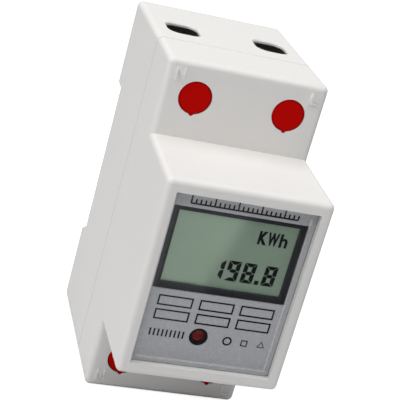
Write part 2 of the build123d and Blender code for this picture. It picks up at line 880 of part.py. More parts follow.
def chip_pin(offset_along, edge, angle, place, surface, mid):
    """One bent pin: out of the body, down to the board and along its pad."""
    x, z = place
    reach = edge + pin_reach
    turn = math.radians(angle)

    def leg(near_edge, far_edge, depth_a, depth_b):
        """One straight run of the pin, as a box along the pin's direction."""
        centre = (near_edge + far_edge) / 2
        centre_x = x + offset_along * math.cos(turn) - centre * math.sin(turn)
        centre_z = z + offset_along * math.sin(turn) + centre * math.cos(turn)
        rear, front = sorted((depth_a, depth_b))
        outline = Rot(0, 0, angle) * Rectangle(pin_width, far_edge - near_edge)
        return slab(outline, rear, front, centre_x, centre_z)

    toward = 1 if mid > surface else -1
    shoulder = leg(edge - pin_thickness, edge + pin_reach / 2,
                   mid - pin_thickness / 2, mid + pin_thickness / 2)
    drop = leg(edge + pin_reach / 2 - pin_thickness, edge + pin_reach / 2, surface, mid)
    foot = leg(edge + pin_reach / 2 - pin_thickness, reach, surface, surface + toward * pin_thickness)
    return shoulder + drop + foot


def meter_chip():
    """The metering chip on the rear of the board, with pins along two sides."""
    place = (row_left + meter_chip_length / 2, chip_row_z)
    return chip((meter_chip_length, meter_chip_width), place, meter_chip_pins, (0, 180), board_rear, -1)


def control_chip():
    """The display's controller on the front of the board, with pins on all sides."""
    size = (control_chip_width, control_chip_width)
    place = (control_chip_x, control_chip_z)
    return chip(size, place, control_chip_pins, (0, 90, 180, 270), board_front, 1)


def bar_lead(side, tap_z, landing_row):
    """An insulated lead from a bar's front face to the rear of the board."""
    tap_x = side * terminal_x
    landing_z = middle_row_z + landing_row * lead_pitch
    points = [
        Vector(tap_x, y_at(bar_front), tap_z),
        Vector(tap_x, y_at(lead_crossing_rear), tap_z),
        Vector(lead_landing_x, y_at(lead_crossing_front), landing_z),
        Vector(lead_landing_x, y_at(board_rear), landing_z),
    ]
    radii = []
    for before, corner, after in zip(points, points[1:], points[2:]):
        turn = math.radians((corner - before).get_angle(after - corner))
        run = min((corner - before).length, (after - corner).length)
        radii.append(lead_bend_share * run / math.tan(turn / 2))
    path = FilletPolyline(*points, radius=radii)
    section = Plane(origin=path @ 0, z_dir=path % 0) * RegularPolygon(lead_radius, round_wire_sides)
    return sweep(section, path=path)


def build_parts():
    """Every piece of the meter under the name of its node."""
    parts = {
        "rear_housing": rear_housing(),
        "front_cover": front_cover(),
        "rail_clip": rail_clip(),
        "clip_spring": clip_spring(),
        "display_window": display_window(),
        "face_plate": face_plate(),
        "lcd_bezel": lcd_bezel(),
        "lcd_panel": lcd_panel(),
        "contact_strip_upper": contact_strip(ENDS["top"]),
        "contact_strip_lower": contact_strip(ENDS["bottom"]),
        "pulse_lamp": pulse_lamp(),
        "lamp_sleeve": lamp_sleeve(),
        "main_board": main_board(),
        "board_screws": board_screws(),
        "film_capacitor": film_capacitor(),
        "smoothing_capacitor": smoothing_capacitor(),
        "surge_varistor": surge_varistor(),
        "power_resistor": power_resistor(),
        "timing_crystal": timing_crystal(),
        "meter_chip": meter_chip(),
        "control_chip": control_chip(),
    }
    bar_end = terminal_z + bar_end_reach
    shunt_half = shunt_length / 2
    neutral_x = SIDES["neutral"] * terminal_x
    line_x = SIDES["line"] * terminal_x
    parts["neutral_bar"] = bar(neutral_x, -bar_end, bar_end, ENDS.values())
    parts["line_bar_upper"] = bar(line_x, shunt_half, bar_end, [ENDS["top"]])
    parts["line_bar_lower"] = bar(line_x, -bar_end, -shunt_half, [ENDS["bottom"]])
    parts["shunt_strip"] = bar(line_x, -shunt_half, shunt_half)
    tap_z = shunt_half + lead_tap_offset
    parts["neutral_lead"] = bar_lead(SIDES["neutral"], 0.0, 0)
    parts["sense_lead_upper"] = bar_lead(SIDES["line"], tap_z, 1)
    parts["sense_lead_lower"] = bar_lead(SIDES["line"], -tap_z, -1)
    for name, side, up in terminals():
        x = side * terminal_x
        parts[f"clamp_cage_{name}"] = clamp_cage(x, up)
        parts[f"clamp_screw_{name}"] = clamp_screw(x, up * terminal_z)
        parts[f"screw_plug_{name}"] = screw_plug(x, up * terminal_z)
    return parts


os.makedirs("parts", exist_ok=True)
for node, shape in build_parts().items():
    export_step(shape, f"parts/{node}.step")
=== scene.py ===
"""A rail-mounted energy meter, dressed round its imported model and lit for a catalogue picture."""

import logging
import math
from dataclasses import dataclass
from enum import Enum
from typing import ClassVar, Dict, Iterable, List, Mapping, Optional, Sequence, Tuple

import bmesh
import bpy
from mathutils import Matrix, Vector

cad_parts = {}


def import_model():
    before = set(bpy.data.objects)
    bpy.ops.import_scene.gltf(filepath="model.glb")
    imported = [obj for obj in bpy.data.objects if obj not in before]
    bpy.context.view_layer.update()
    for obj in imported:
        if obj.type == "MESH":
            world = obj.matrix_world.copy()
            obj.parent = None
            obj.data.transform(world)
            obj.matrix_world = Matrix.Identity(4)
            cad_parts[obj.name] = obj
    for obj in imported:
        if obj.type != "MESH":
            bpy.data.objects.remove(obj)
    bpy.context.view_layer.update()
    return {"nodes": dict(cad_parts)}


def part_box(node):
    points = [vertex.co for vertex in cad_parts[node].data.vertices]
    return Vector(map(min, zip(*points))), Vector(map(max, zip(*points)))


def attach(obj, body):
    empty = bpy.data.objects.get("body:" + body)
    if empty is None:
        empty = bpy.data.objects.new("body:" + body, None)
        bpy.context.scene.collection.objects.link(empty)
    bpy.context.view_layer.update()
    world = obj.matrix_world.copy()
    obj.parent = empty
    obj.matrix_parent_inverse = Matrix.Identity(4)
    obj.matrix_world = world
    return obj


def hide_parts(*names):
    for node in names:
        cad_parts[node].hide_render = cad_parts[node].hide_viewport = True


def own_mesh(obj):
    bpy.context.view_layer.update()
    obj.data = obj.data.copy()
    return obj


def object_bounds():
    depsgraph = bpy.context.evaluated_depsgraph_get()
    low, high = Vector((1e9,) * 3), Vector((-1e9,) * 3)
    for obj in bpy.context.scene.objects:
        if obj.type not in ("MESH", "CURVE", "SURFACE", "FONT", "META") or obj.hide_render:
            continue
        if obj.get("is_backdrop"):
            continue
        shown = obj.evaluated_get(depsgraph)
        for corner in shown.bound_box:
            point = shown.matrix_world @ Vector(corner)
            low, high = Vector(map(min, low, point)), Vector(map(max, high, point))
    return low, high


Colour = Tuple[float, float, float]
Spot = Tuple[float, float, float]
Point = Tuple[float, float]
Range = Tuple[float, float]
Outline = Sequence[Point]
Socket = bpy.types.NodeSocket
Sockets = Mapping[str, Socket]

MM = 0.001
CASING_BODY = "housing"
WHITE = (1.0, 1.0, 1.0)
# The colour of painted shade: deep in openings, on the wire entries' walls and in the seam.
PAINTED_SHADE_TONE = (0.005, 0.005, 0.005)
DUST_TONE = (0.62, 0.6, 0.56)
NOISE_LOW = 0.3
NOISE_HIGH = 0.7
LETTER_DEPTH = 0.1
LETTER_STEPS = 4

log = logging.getLogger("energy_meter")


class Terminal(Enum):
    """The four terminals, by the words that end the names of their pieces."""

    NEUTRAL_TOP = "neutral_top"
    LINE_TOP = "line_top"
    NEUTRAL_BOTTOM = "neutral_bottom"
    LINE_BOTTOM = "line_bottom"

    @property
    def neutral(self) -> bool:
        """Whether it takes the neutral wire."""
        return self in (Terminal.NEUTRAL_TOP, Terminal.NEUTRAL_BOTTOM)

    @property
    def upper(self) -> bool:
        """Whether it is at the top end."""
        return self in (Terminal.NEUTRAL_TOP, Terminal.LINE_TOP)


class Graph:
    """A node tree that is being wired, with short calls for its nodes and links."""

    def __init__(self, tree: bpy.types.NodeTree) -> None:
        """Keeps the tree to wire."""
        self.tree = tree

    def add(self, kind: str, **settings: object) -> bpy.types.Node:
        """Adds one node.

        Args:
            kind: the node's type name.
            settings: properties of the node to set.

        Returns:
            The new node.
        """
        node = self.tree.nodes.new(kind)
        for key, value in settings.items():
            setattr(node, key, value)
        return node

    def wire(self, source: Socket, target: Socket) -> None:
        """Links an output socket to an input socket."""
        self.tree.links.new(source, target)

    def feed(self, source: object, target: Socket) -> None:
        """Links a socket, or sets a plain value.

        Args:
            source: a socket, a number, a colour or a vector.
            target: the input socket.
        """
        if isinstance(source, bpy.types.NodeSocket):
            self.wire(source, target)
        elif isinstance(source, tuple) and len(source) == 3 and target.type == "RGBA":
            target.default_value = (*source, 1.0)
        else:
            target.default_value = source

    def fill(self, node: bpy.types.Node, **values: object) -> Sockets:
        """Feeds a node's inputs by name.

        Args:
            node: the node.
            values: what each input gets, with underscores for the spaces in its name.

        Returns:
            The node's outputs.
        """
        for name, value in values.items():
            self.feed(value, node.inputs[name.replace("_", " ")])
        return node.outputs

    def math(self, operation: str, *terms: object, clamp: bool = False) -> Socket:
        """Adds a Math node.

        Args:
            operation: the Math node's operation.
            terms: sockets or plain numbers, in the node's order.
            clamp: True to keep the result between 0 and 1.

        Returns:
            The node's value socket.
        """
        node = self.add("ShaderNodeMath", operation=operation, use_clamp=clamp)
        for place, term in enumerate(terms):
            self.feed(term, node.inputs[place])
        return node.outputs[0]

    def mix(self, factor: object, low: object, high: object) -> Socket:
        """Adds a colour Mix node.

        Args:
            factor: socket or number that picks between the two.
            low: colour or socket at factor 0.
            high: colour or socket at factor 1.

        Returns:
            The mixed colour socket.
        """
        node = self.add("ShaderNodeMix", data_type="RGBA")
        for place, source in (("Factor", factor), (6, low), (7, high)):
            self.feed(source, node.inputs[place])
        return node.outputs[2]

    def blend(self, factor: Socket, low: Socket, high: Socket) -> Socket:
        """Blends two shaders.

        Args:
            factor: socket that picks between the two.
            low: shader at factor 0.
            high: shader at factor 1.

        Returns:
            The blended shader socket.
        """
        node = self.add("ShaderNodeMixShader")
        for place, source in enumerate((factor, low, high)):
            self.wire(source, node.inputs[place])
        return node.outputs[0]

    def span(self, value: object, low: float, high: float, out_low: float = 0.0,
             out_high: float = 1.0) -> Socket:
        """Maps a value from one range to another, clamped.

        Args:
            value: socket to map.
            low: value that gives out_low.
            high: value that gives out_high.
            out_low: result at the low end.
            out_high: result at the high end.

        Returns:
            The mapped value socket.
        """
        node = self.add("ShaderNodeMapRange")
        return self.fill(node, Value=value, From_Min=low, From_Max=high, To_Min=out_low,
                         To_Max=out_high)["Result"]

    def noise(self, place: Socket, scale: object, detail: float = 2.0) -> Socket:
        """Adds a noise texture.

        Args:
            place: vector socket to read it at.
            scale: features for each metre, a number or a socket.
            detail: octaves of finer noise.

        Returns:
            The noise value socket.
        """
        return self.fill(self.add("ShaderNodeTexNoise"), Vector=place, Scale=scale, Detail=detail)["Fac"]

    def waver(self, noise: Socket, low: float, high: float) -> Socket:
        """Stretches a noise over its usual range, so that it runs from low to high."""
        return self.span(noise, NOISE_LOW, NOISE_HIGH, low, high)

    def swing(self, noise: Socket, reach: Socket) -> Socket:
        """Swings a noise about zero, up to the reach each way."""
        return self.math("MULTIPLY", self.math("MULTIPLY", self.math("SUBTRACT", noise, 0.5), reach), 2.0)

    def place(self) -> Socket:
        """The piece's own coordinates, in metres, which stay on it as it moves."""
        return self.add("ShaderNodeTexCoord").outputs["Object"]

    def normal(self) -> Socket:
        """The surface's normal."""
        return self.add("ShaderNodeNewGeometry").outputs["Normal"]

    def parts(self, vector: Socket) -> Sequence[Socket]:
        """A vector's X, Y and Z."""
        return tuple(self.fill(self.add("ShaderNodeSeparateXYZ"), Vector=vector))

    def vector(self, operation: str, *terms: object) -> Sockets:
        """Adds a Vector Math node.

        Args:
            operation: the node's operation.
            terms: sockets or plain vectors, in the node's order.

        Returns:
            The node's outputs.
        """
        node = self.add("ShaderNodeVectorMath", operation=operation)
        for place, term in enumerate(terms):
            self.feed(term, node.inputs[place])
        return node.outputs

    def toned(self, colour: object, value: Socket) -> Socket:
        """A colour made darker or lighter by a value about 1."""
        return self.fill(self.add("ShaderNodeHueSaturation"), Color=colour, Value=value)["Color"]

    def bump(self, height: Socket, depth: float, strength: object = 1.0,
             under: Optional[Socket] = None) -> Socket:
        """Roughens the normal by a height.

        Args:
            height: socket from 0 to 1.
            depth: how deep a height of 1 is, in metres.
            strength: how much of the bump shows.
            under: the normal of the surface below.

        Returns:
            The new normal socket.
        """
        node = self.add("ShaderNodeBump")
        if under is not None:
            self.wire(under, node.inputs["Normal"])
        return self.fill(node, Height=height, Distance=depth, Strength=strength)["Normal"]


class Effect(Enum):
    """The shared surface effects, each a shader node group."""

    MOULDED_SKIN = "moulded_skin"
    EDGE_WEAR_AND_SHADING = "edge_wear_and_shading"
    SETTLED_DUST = "settled_dust"
    DRAWN_METAL = "drawn_metal"
    DEEP_SHADE = "deep_shade"
    ENTRY_SHADE = "entry_shade"
    SEAM_SHADE = "seam_shade"


class Effects:
    """Builds each shared effect once and places it in the finishes that use it."""

    # A scale is features for each metre. A range goes from where a mask is 0 to where it is 1.
    cloud_scale: float = 55.0
    cloud_share: float = 0.7
    fleck_scale: float = 900.0
    skin_depth: float = 0.02 * MM
    bevel_samples: int = 4
    edge_cosine: Range = (0.995, 0.88)
    patch_scale: float = 420.0
    patch_edge: Range = (0.35, 0.65)
    mote_scale: float = 1500.0
    mote_edge: Range = (0.42, 0.7)
    upward: Range = (0.2, 0.95)
    line_share: float = 0.16
    stain_share: float = 0.14
    stain_scale: float = 240.0
    line_depth: float = 0.01 * MM
    shade_samples: int = 6
    closed_in: Range = (0.3, 0.12)
    lip_blur: float = 0.15 * MM
    groove_core: float = 0.4

    def __init__(self) -> None:
        """Builds every group."""
        self.groups: Dict[Effect, bpy.types.NodeTree] = {}
        self._moulded_skin()
        self._edge_wear_and_shading()
        self._settled_dust()
        self._drawn_metal()
        self._deep_shade()
        self._entry_shade()
        self._seam_shade()

    def place(self, graph: Graph, effect: Effect, **values: object) -> Sockets:
        """Puts an effect in a material.

        Args:
            graph: the material's graph.
            effect: which effect.
            values: its inputs, with underscores for the spaces in their names.

        Returns:
            The group node's outputs.
        """
        return graph.fill(graph.add("ShaderNodeGroup", node_tree=self.groups[effect]), **values)

    def _new_group(self, effect: Effect, inputs: Dict[str, object],
                   outputs: Sequence[str] = ("Mask",)) -> Tuple[Graph, Sockets, Sockets]:
        """Starts a node group.

        Args:
            effect: the effect that it makes.
            inputs: default value for each input's name: a number, a vector or a colour with alpha.
            outputs: the outputs' names: Colour, Normal, or else a number.

        Returns:
            The group's graph, what it is given and what it makes.
        """
        tree = bpy.data.node_groups.new(effect.value, "ShaderNodeTree")
        for name, value in inputs.items():
            size = len(value) if isinstance(value, tuple) else 1
            kind = {1: "NodeSocketFloat", 3: "NodeSocketVector", 4: "NodeSocketColor"}[size]
            tree.interface.new_socket(name, in_out="INPUT", socket_type=kind).default_value = value
        kinds = {"Colour": "NodeSocketColor", "Normal": "NodeSocketVector"}
        for name in outputs:
            kind = kinds.get(name, "NodeSocketFloat")
            tree.interface.new_socket(name, in_out="OUTPUT", socket_type=kind)
        graph = Graph(tree)
        self.groups[effect] = tree
        return graph, graph.add("NodeGroupInput").outputs, graph.add("NodeGroupOutput").inputs

    def _moulded_skin(self) -> None:
        """The fine spark-eroded skin of a moulding: faint mottle, uneven gloss and a small grain."""
        graph, given, made = self._new_group(
            Effect.MOULDED_SKIN,
            {"Colour": (0.8, 0.8, 0.8, 1.0), "Mottle": 0.04, "Roughness": 0.45, "Unevenness": 0.06,
             "Grain Scale": 5200.0, "Grain Depth": 0.15},
            ("Colour", "Roughness", "Normal"))
        place = graph.place()
        cloud = graph.noise(place, self.cloud_scale, detail=3.0)
        fleck = graph.noise(place, self.fleck_scale)
        drift = graph.math("ADD", graph.math("MULTIPLY", cloud, self.cloud_share),
                           graph.math("MULTIPLY", fleck, 1.0 - self.cloud_share))
        value = graph.math("ADD", graph.swing(drift, given["Mottle"]), 1.0)
        graph.wire(graph.toned(given["Colour"], value), made["Colour"])
        spread = graph.swing(fleck, given["Unevenness"])
        graph.wire(graph.math("ADD", given["Roughness"], spread, clamp=True), made["Roughness"])
        grain = graph.noise(place, given["Grain Scale"])
        graph.wire(graph.bump(grain, self.skin_depth, given["Grain Depth"]), made["Normal"])

    def _edge_wear_and_shading(self) -> None:
        """A mask that is high on outer edges, where handling polishes a surface and where the finishes paint
        edge light and shade.
        """
        graph, given, made = self._new_group(Effect.EDGE_WEAR_AND_SHADING, {"Reach": 0.6 * MM, "Breakup": 0.5})
        bevel = graph.add("ShaderNodeBevel", samples=self.bevel_samples)
        rounded = graph.fill(bevel, Radius=given["Reach"])["Normal"]
        turn = graph.vector("DOT_PRODUCT", rounded, graph.normal())["Value"]
        edge = graph.span(turn, *self.edge_cosine)
        patch = graph.span(graph.noise(graph.place(), self.patch_scale, detail=4.0), *self.patch_edge)
        kept = graph.math("SUBTRACT", 1.0, graph.math("MULTIPLY", patch, given["Breakup"]))
        graph.wire(graph.math("MULTIPLY", edge, kept), made["Mask"])

    def _settled_dust(self) -> None:
        """A mask of thin dust, which lies on faces that look up."""
        graph, given, made = self._new_group(Effect.SETTLED_DUST, {"Amount": 0.1})
        up = graph.span(graph.parts(graph.normal())[2], *self.upward)
        motes = graph.span(graph.noise(graph.place(), self.mote_scale, detail=5.0), *self.mote_edge)
        graph.wire(graph.math("MULTIPLY", graph.math("MULTIPLY", up, motes), given["Amount"]), made["Mask"])

    def _drawn_metal(self) -> None:
        """Fine lines along one way of a rolled, drawn or plated metal."""
        graph, given, made = self._new_group(
            Effect.DRAWN_METAL,
            {"Stretch": (1.0, 1.0, 0.05), "Line Scale": 6000.0, "Roughness": 0.3, "Depth": 0.2},
            ("Mask", "Roughness", "Normal"))
        place = graph.place()
        drawn = graph.vector("MULTIPLY", place, given["Stretch"])["Vector"]
        lines = graph.noise(drawn, given["Line Scale"], detail=3.0)
        stain = graph.noise(place, self.stain_scale, detail=4.0)
        graph.wire(stain, made["Mask"])
        wander = graph.math("ADD", graph.math("MULTIPLY", lines, self.line_share),
                            graph.math("MULTIPLY", stain, self.stain_share))
        middle = (self.line_share + self.stain_share) / 2
        drift = graph.math("SUBTRACT", wander, middle)
        graph.wire(graph.math("ADD", given["Roughness"], drift, clamp=True), made["Roughness"])
        graph.wire(graph.bump(lines, self.line_depth, given["Depth"]), made["Normal"])

    def _deep_shade(self) -> None:
        """A mask of painted shade, high deep inside openings, where a surface is closed in all round."""
        graph, given, made = self._new_group(Effect.DEEP_SHADE, {"Reach": 5.0 * MM})
        node = graph.add("ShaderNodeAmbientOcclusion", samples=self.shade_samples)
        openness = graph.fill(node, Distance=given["Reach"])["AO"]
        graph.wire(graph.span(openness, *self.closed_in), made["Mask"])

    def _entry_shade(self) -> None:
        """A mask of painted shade on the walls of the wire entries, which lie in shade below their bright
        lips.
        """
        graph, given, made = self._new_group(
            Effect.ENTRY_SHADE,
            {"Mouth": 40.0 * MM, "Lip": 0.65 * MM, "Floor": 3.0 * MM, "Offset": 10.5 * MM,
             "Half Width": 3.9 * MM, "Front": -18.55 * MM, "Rear": -10.1 * MM})
        x, y, z = graph.parts(graph.place())
        sunk = graph.math("SUBTRACT", given["Mouth"], graph.math("ABSOLUTE", z))
        side = graph.math("SUBTRACT", graph.math("ABSOLUTE", x), given["Offset"])
        mask = graph.span(graph.math("SUBTRACT", sunk, given["Lip"]), 0.0, self.lip_blur)
        for test, value, limit in (("LESS_THAN", graph.math("ABSOLUTE", side), "Half Width"),
                                   ("LESS_THAN", sunk, "Floor"),
                                   ("GREATER_THAN", y, "Front"),
                                   ("LESS_THAN", y, "Rear")):
            mask = graph.math("MULTIPLY", mask, graph.math(test, value, given[limit]))
        graph.wire(mask, made["Mask"])

    def _seam_shade(self) -> None:
        """A mask of painted shade along the seam between the two shells, where the fine groove holds shade.
        """
        graph, given, made = self._new_group(
            Effect.SEAM_SHADE, {"Seam": -24.2 * MM, "Half Width": 0.28 * MM})
        depth = graph.parts(graph.place())[1]
        away = graph.math("ABSOLUTE", graph.math("SUBTRACT", depth, given["Seam"]))
        share = graph.math("DIVIDE", away, given["Half Width"])
        graph.wire(graph.span(share, 1.0, self.groove_core), made["Mask"])


class MaterialGraph(Graph):
    """A material's node tree, with its Principled shader wired to the output."""

    def __init__(self, name: str, effects: Optional[Effects] = None) -> None:
        """Starts a material.

        Args:
            name: the material's name.
            effects: the shared effects, where it uses any.
        """
        self.material = bpy.data.materials.new(name)
        self.material.use_nodes = True
        super().__init__(self.material.node_tree)
        self.tree.nodes.clear()
        self.effects = effects
        self.shader = self.add("ShaderNodeBsdfPrincipled")
        self.output = self.add("ShaderNodeOutputMaterial")
        self.show(self.shader.outputs["BSDF"])

    def show(self, source: Socket) -> None:
        """Makes a shader the material's surface."""
        self.wire(source, self.output.inputs["Surface"])

    def coat(self, **values: object) -> None:
        """Feeds the Principled shader's inputs by name, with underscores for spaces."""
        self.fill(self.shader, **values)

    def effect(self, effect: Effect, **values: object) -> Sockets:
        """Places a shared effect and gives its outputs."""
        return self.effects.place(self, effect, **values)


@dataclass(frozen=True)
class Finish:
    """The look of a surface, built once as a material."""

    name: str

    def make(self, effects: Effects) -> bpy.types.Material:
        """Builds the material.

        Args:
            effects: the shared effects.

        Returns:
            The finished material.
        """
        graph = MaterialGraph(self.name, effects)
        self.lay(graph)
        return graph.material

    def lay(self, graph: MaterialGraph) -> None:
        """Wires the finish's own look into its material."""
        raise NotImplementedError


@dataclass(frozen=True)
class MouldedPlastic(Finish):
    """An opaque moulded plastic."""

    colour: Colour
    roughness: float = 0.45
    mottle: float = 0.03
    grain_scale: float = 5200.0
    grain_depth: float = 0.15
    edge_colour: Colour = WHITE
    edge_share: float = 0.1
    edge_polish: float = 0.8
    dust: float = 0.05
    specular: float = 0.4
    deep_share: float = 0.0
    entry_share: float = 0.0
    seam_share: float = 0.0

    def lay(self, graph: MaterialGraph) -> None:
        """Lays the skin, then the wear and the painted light and shade on its edges, its dust and its painted
        shade in openings and seams.

        Args:
            graph: the material's graph.
        """
        skin = graph.effect(Effect.MOULDED_SKIN, Colour=self.colour, Mottle=self.mottle,
                            Roughness=self.roughness, Grain_Scale=self.grain_scale,
                            Grain_Depth=self.grain_depth)
        # The edge mask smooths the roughness where handling polishes the edges; the colour it moves the edges
        # to is painted: paler edges are a painted highlight, darker edges a painted shade.
        share = graph.math("MULTIPLY", graph.effect(Effect.EDGE_WEAR_AND_SHADING)["Mask"], self.edge_share)
        worn_and_shaded = graph.mix(share, skin["Colour"], self.edge_colour)
        tone = graph.mix(graph.effect(Effect.SETTLED_DUST, Amount=self.dust)["Mask"], worn_and_shaded, DUST_TONE)
        polish = graph.math("MULTIPLY", share, self.edge_polish)
        rough = graph.math("SUBTRACT", skin["Roughness"], polish, clamp=True)
        # Painted shade: darker deep in openings, on the wire entries' walls and in the seam.
        for effect, weight in ((Effect.DEEP_SHADE, self.deep_share), (Effect.ENTRY_SHADE, self.entry_share),
                               (Effect.SEAM_SHADE, self.seam_share)):
            if weight:
                held = graph.math("MULTIPLY", graph.effect(effect)["Mask"], weight)
                tone = graph.mix(held, tone, PAINTED_SHADE_TONE)
                rough = graph.math("MAXIMUM", rough, held)
        graph.coat(Base_Color=tone, Roughness=rough, Normal=skin["Normal"], Specular_IOR_Level=self.specular)


@dataclass(frozen=True)
class PlatedMetal(Finish):
    """A rolled, drawn or plated metal, with or without a screw thread cut in it."""

    colour: Colour
    stain: Colour
    stain_edge: Range = (0.35, 0.75)
    roughness: float = 0.3
    stretch: Spot = (1.0, 0.05, 1.0)
    thread_pitch: float = 0.0
    thread_depth: float = 0.0
    deep_share: float = 0.0

    def lay(self, graph: MaterialGraph) -> None:
        """Lays the drawn metal, its stain, its painted shade and its thread.

        Args:
            graph: the material's graph.
        """
        metal = graph.effect(Effect.DRAWN_METAL, Stretch=self.stretch, Roughness=self.roughness)
        tone = graph.mix(graph.span(metal["Mask"], *self.stain_edge), self.colour, self.stain)
        # Painted shade: darker deep inside openings.
        if self.deep_share:
            held = graph.math("MULTIPLY", graph.effect(Effect.DEEP_SHADE)["Mask"], self.deep_share)
            tone = graph.mix(held, tone, PAINTED_SHADE_TONE)
        normal = metal["Normal"]
        if self.thread_pitch:
            turns = graph.math("MULTIPLY", graph.parts(graph.place())[1], 1.0 / self.thread_pitch)
            normal = graph.bump(graph.math("PINGPONG", turns, 0.5), self.thread_depth, under=normal)
        graph.coat(Base_Color=tone, Roughness=metal["Roughness"], Metallic=1.0, Normal=normal)


@dataclass(frozen=True)
class ClearSheet(Finish):
    """Clear polished acrylic, which lets the studio's light through to what lies behind it."""

    colour: Colour
    ior: float = 1.49
    specular: float = 0.25
    smear_scale: float = 90.0
    smear_edge: Range = (0.35, 0.75)
    smear_roughness: float = 0.02
    passing: Colour = (0.9, 0.91, 0.91)

    def lay(self, graph: MaterialGraph) -> None:
        """Lays the clear sheet and what light passes through it.

        Args:
            graph: the material's graph.
        """
        smear = graph.noise(graph.place(), self.smear_scale, detail=3.0)
        graph.coat(Base_Color=self.colour, Transmission_Weight=1.0, IOR=self.ior,
                   Specular_IOR_Level=self.specular,
                   Roughness=graph.span(smear, *self.smear_edge, 0.0, self.smear_roughness))
        path = graph.add("ShaderNodeLightPath").outputs
        through = graph.math("MAXIMUM", path["Is Shadow Ray"], path["Is Diffuse Ray"])
        clear = graph.fill(graph.add("ShaderNodeBsdfTransparent"), Color=self.passing)["BSDF"]
        graph.show(graph.blend(through, graph.shader.outputs["BSDF"], clear))


@dataclass(frozen=True)
class SilverPlate(Finish):
    """The face plate's bluish silver-grey paint, full of fine metal flakes."""

    colour: Colour
    flake: Colour
    shadow: Colour
    flake_scale: float = 3300.0
    bright_from: float = 0.72
    flake_share: float = 0.3
    dark_from: float = 0.7
    shadow_share: float = 0.25
    drift_scale: float = 40.0
    drift_tone: Range = (0.98, 1.02)
    roughness: float = 0.42
    flake_polish: float = 0.14
    flake_depth: float = 0.01 * MM
    flake_bump: float = 0.3
    metallic: float = 0.1

    def lay(self, graph: MaterialGraph) -> None:
        """Lays the paint with its bright and dark flakes.

        Args:
            graph: the material's graph.
        """
        place = graph.place()
        cells = graph.fill(graph.add("ShaderNodeTexVoronoi"), Vector=place, Scale=self.flake_scale)
        tone = graph.fill(graph.add("ShaderNodeSeparateColor"), Color=cells["Color"])
        bright = graph.span(tone["Red"], self.bright_from, 1.0)
        dark = graph.span(tone["Green"], self.dark_from, 1.0)
        base = graph.mix(graph.math("MULTIPLY", bright, self.flake_share), self.colour, self.flake)
        base = graph.mix(graph.math("MULTIPLY", dark, self.shadow_share), base, self.shadow)
        drift = graph.waver(graph.noise(place, self.drift_scale, detail=1.0), *self.drift_tone)
        graph.coat(Base_Color=graph.toned(base, drift), Metallic=self.metallic,
                   Roughness=graph.span(bright, 0.0, 1.0, self.roughness, self.roughness - self.flake_polish),
                   Normal=graph.bump(tone["Blue"], self.flake_depth, self.flake_bump))


@dataclass(frozen=True)
class DisplayGlass(Finish):
    """The reflective display: green-grey polariser over a half-bright foil."""

    colour: Colour
    edge: Colour
    cloud_scale: float = 60.0
    cloud_edge: Range = (0.35, 0.7)
    grain_scale: float = 7000.0
    grain_tone: Range = (0.97, 1.03)
    foil: float = 0.5
    specular: float = 0.5
    roughness: float = 0.01

    def lay(self, graph: MaterialGraph) -> None:
        """Lays the clouded, finely grained polariser.

        Args:
            graph: the material's graph.
        """
        place = graph.place()
        cloud = graph.span(graph.noise(place, self.cloud_scale), *self.cloud_edge)
        grain = graph.waver(graph.noise(place, self.grain_scale, detail=1.0), *self.grain_tone)
        graph.coat(Base_Color=graph.toned(graph.mix(cloud, self.colour, self.edge), grain),
                   Roughness=graph.span(cloud, 0.0, 1.0, self.roughness, 2 * self.roughness),
                   Metallic=self.foil, Specular_IOR_Level=self.specular)


@dataclass(frozen=True)
class TintedResin(Finish):
    """The lamp's clear-edged, deep-tinted resin, with painted light where it faces the camera."""

    colour: Colour
    facing_light: Colour
    facing_light_edge: Range = (0.1, 0.8)
    swirl_scale: float = 1400.0
    roughness: float = 0.14
    unevenness: float = 0.08
    specular: float = 0.2
    coat: float = 0.1
    coat_roughness: float = 0.08

    def lay(self, graph: MaterialGraph) -> None:
        """Lays the resin, painted lighter where it faces the camera and darker towards its outline, and its
        thin coat.

        Args:
            graph: the material's graph.
        """
        # Painted light: the resin is lighter where it faces the camera and darker towards its outline.
        facing = graph.add("ShaderNodeLayerWeight").outputs["Facing"]
        swirl = graph.noise(graph.place(), self.swirl_scale)
        graph.coat(Base_Color=graph.mix(graph.span(facing, *self.facing_light_edge), self.facing_light, self.colour),
                   Roughness=graph.waver(swirl, self.roughness, self.roughness + self.unevenness),
                   Specular_IOR_Level=self.specular, Coat_Weight=self.coat,
                   Coat_Roughness=self.coat_roughness)


@dataclass(frozen=True)
class PrintedInk(Finish):
    """The ink of the print and of the display's lit strokes: dark, slightly uneven and matt."""

    colour: Colour
    roughness: float = 0.6
    specular: float = 0.05
    mottle: float = 0.25
    grain_scale: float = 9000.0
    grain_depth: float = 0.05

    def lay(self, graph: MaterialGraph) -> None:
        """Lays the ink's skin.

        Args:
            graph: the material's graph.
        """
        skin = graph.effect(Effect.MOULDED_SKIN, Colour=self.colour, Mottle=self.mottle,
                            Roughness=self.roughness, Grain_Scale=self.grain_scale,
                            Grain_Depth=self.grain_depth)
        graph.coat(Base_Color=skin["Colour"], Roughness=skin["Roughness"], Normal=skin["Normal"],
                   Specular_IOR_Level=self.specular)


@dataclass(frozen=True)
class PaintedRidgeHighlight(Finish):
    """A painted highlight: the thin gleam on the polished ridge round a clear window."""

    colour: Colour
    cover: float = 0.17
    thin_share: float = 0.85
    smear_scale: float = 120.0
    roughness: float = 0.4
    specular: float = 0.1

    def lay(self, graph: MaterialGraph) -> None:
        """Lays a mostly clear, pale film, which is the painted highlight.

        Args:
            graph: the material's graph.
        """
        smear = graph.noise(graph.place(), self.smear_scale)
        graph.coat(Base_Color=graph.mix(smear, self.colour, WHITE),
                   Alpha=graph.waver(smear, self.thin_share * self.cover, self.cover),
                   Roughness=self.roughness, Specular_IOR_Level=self.specular)


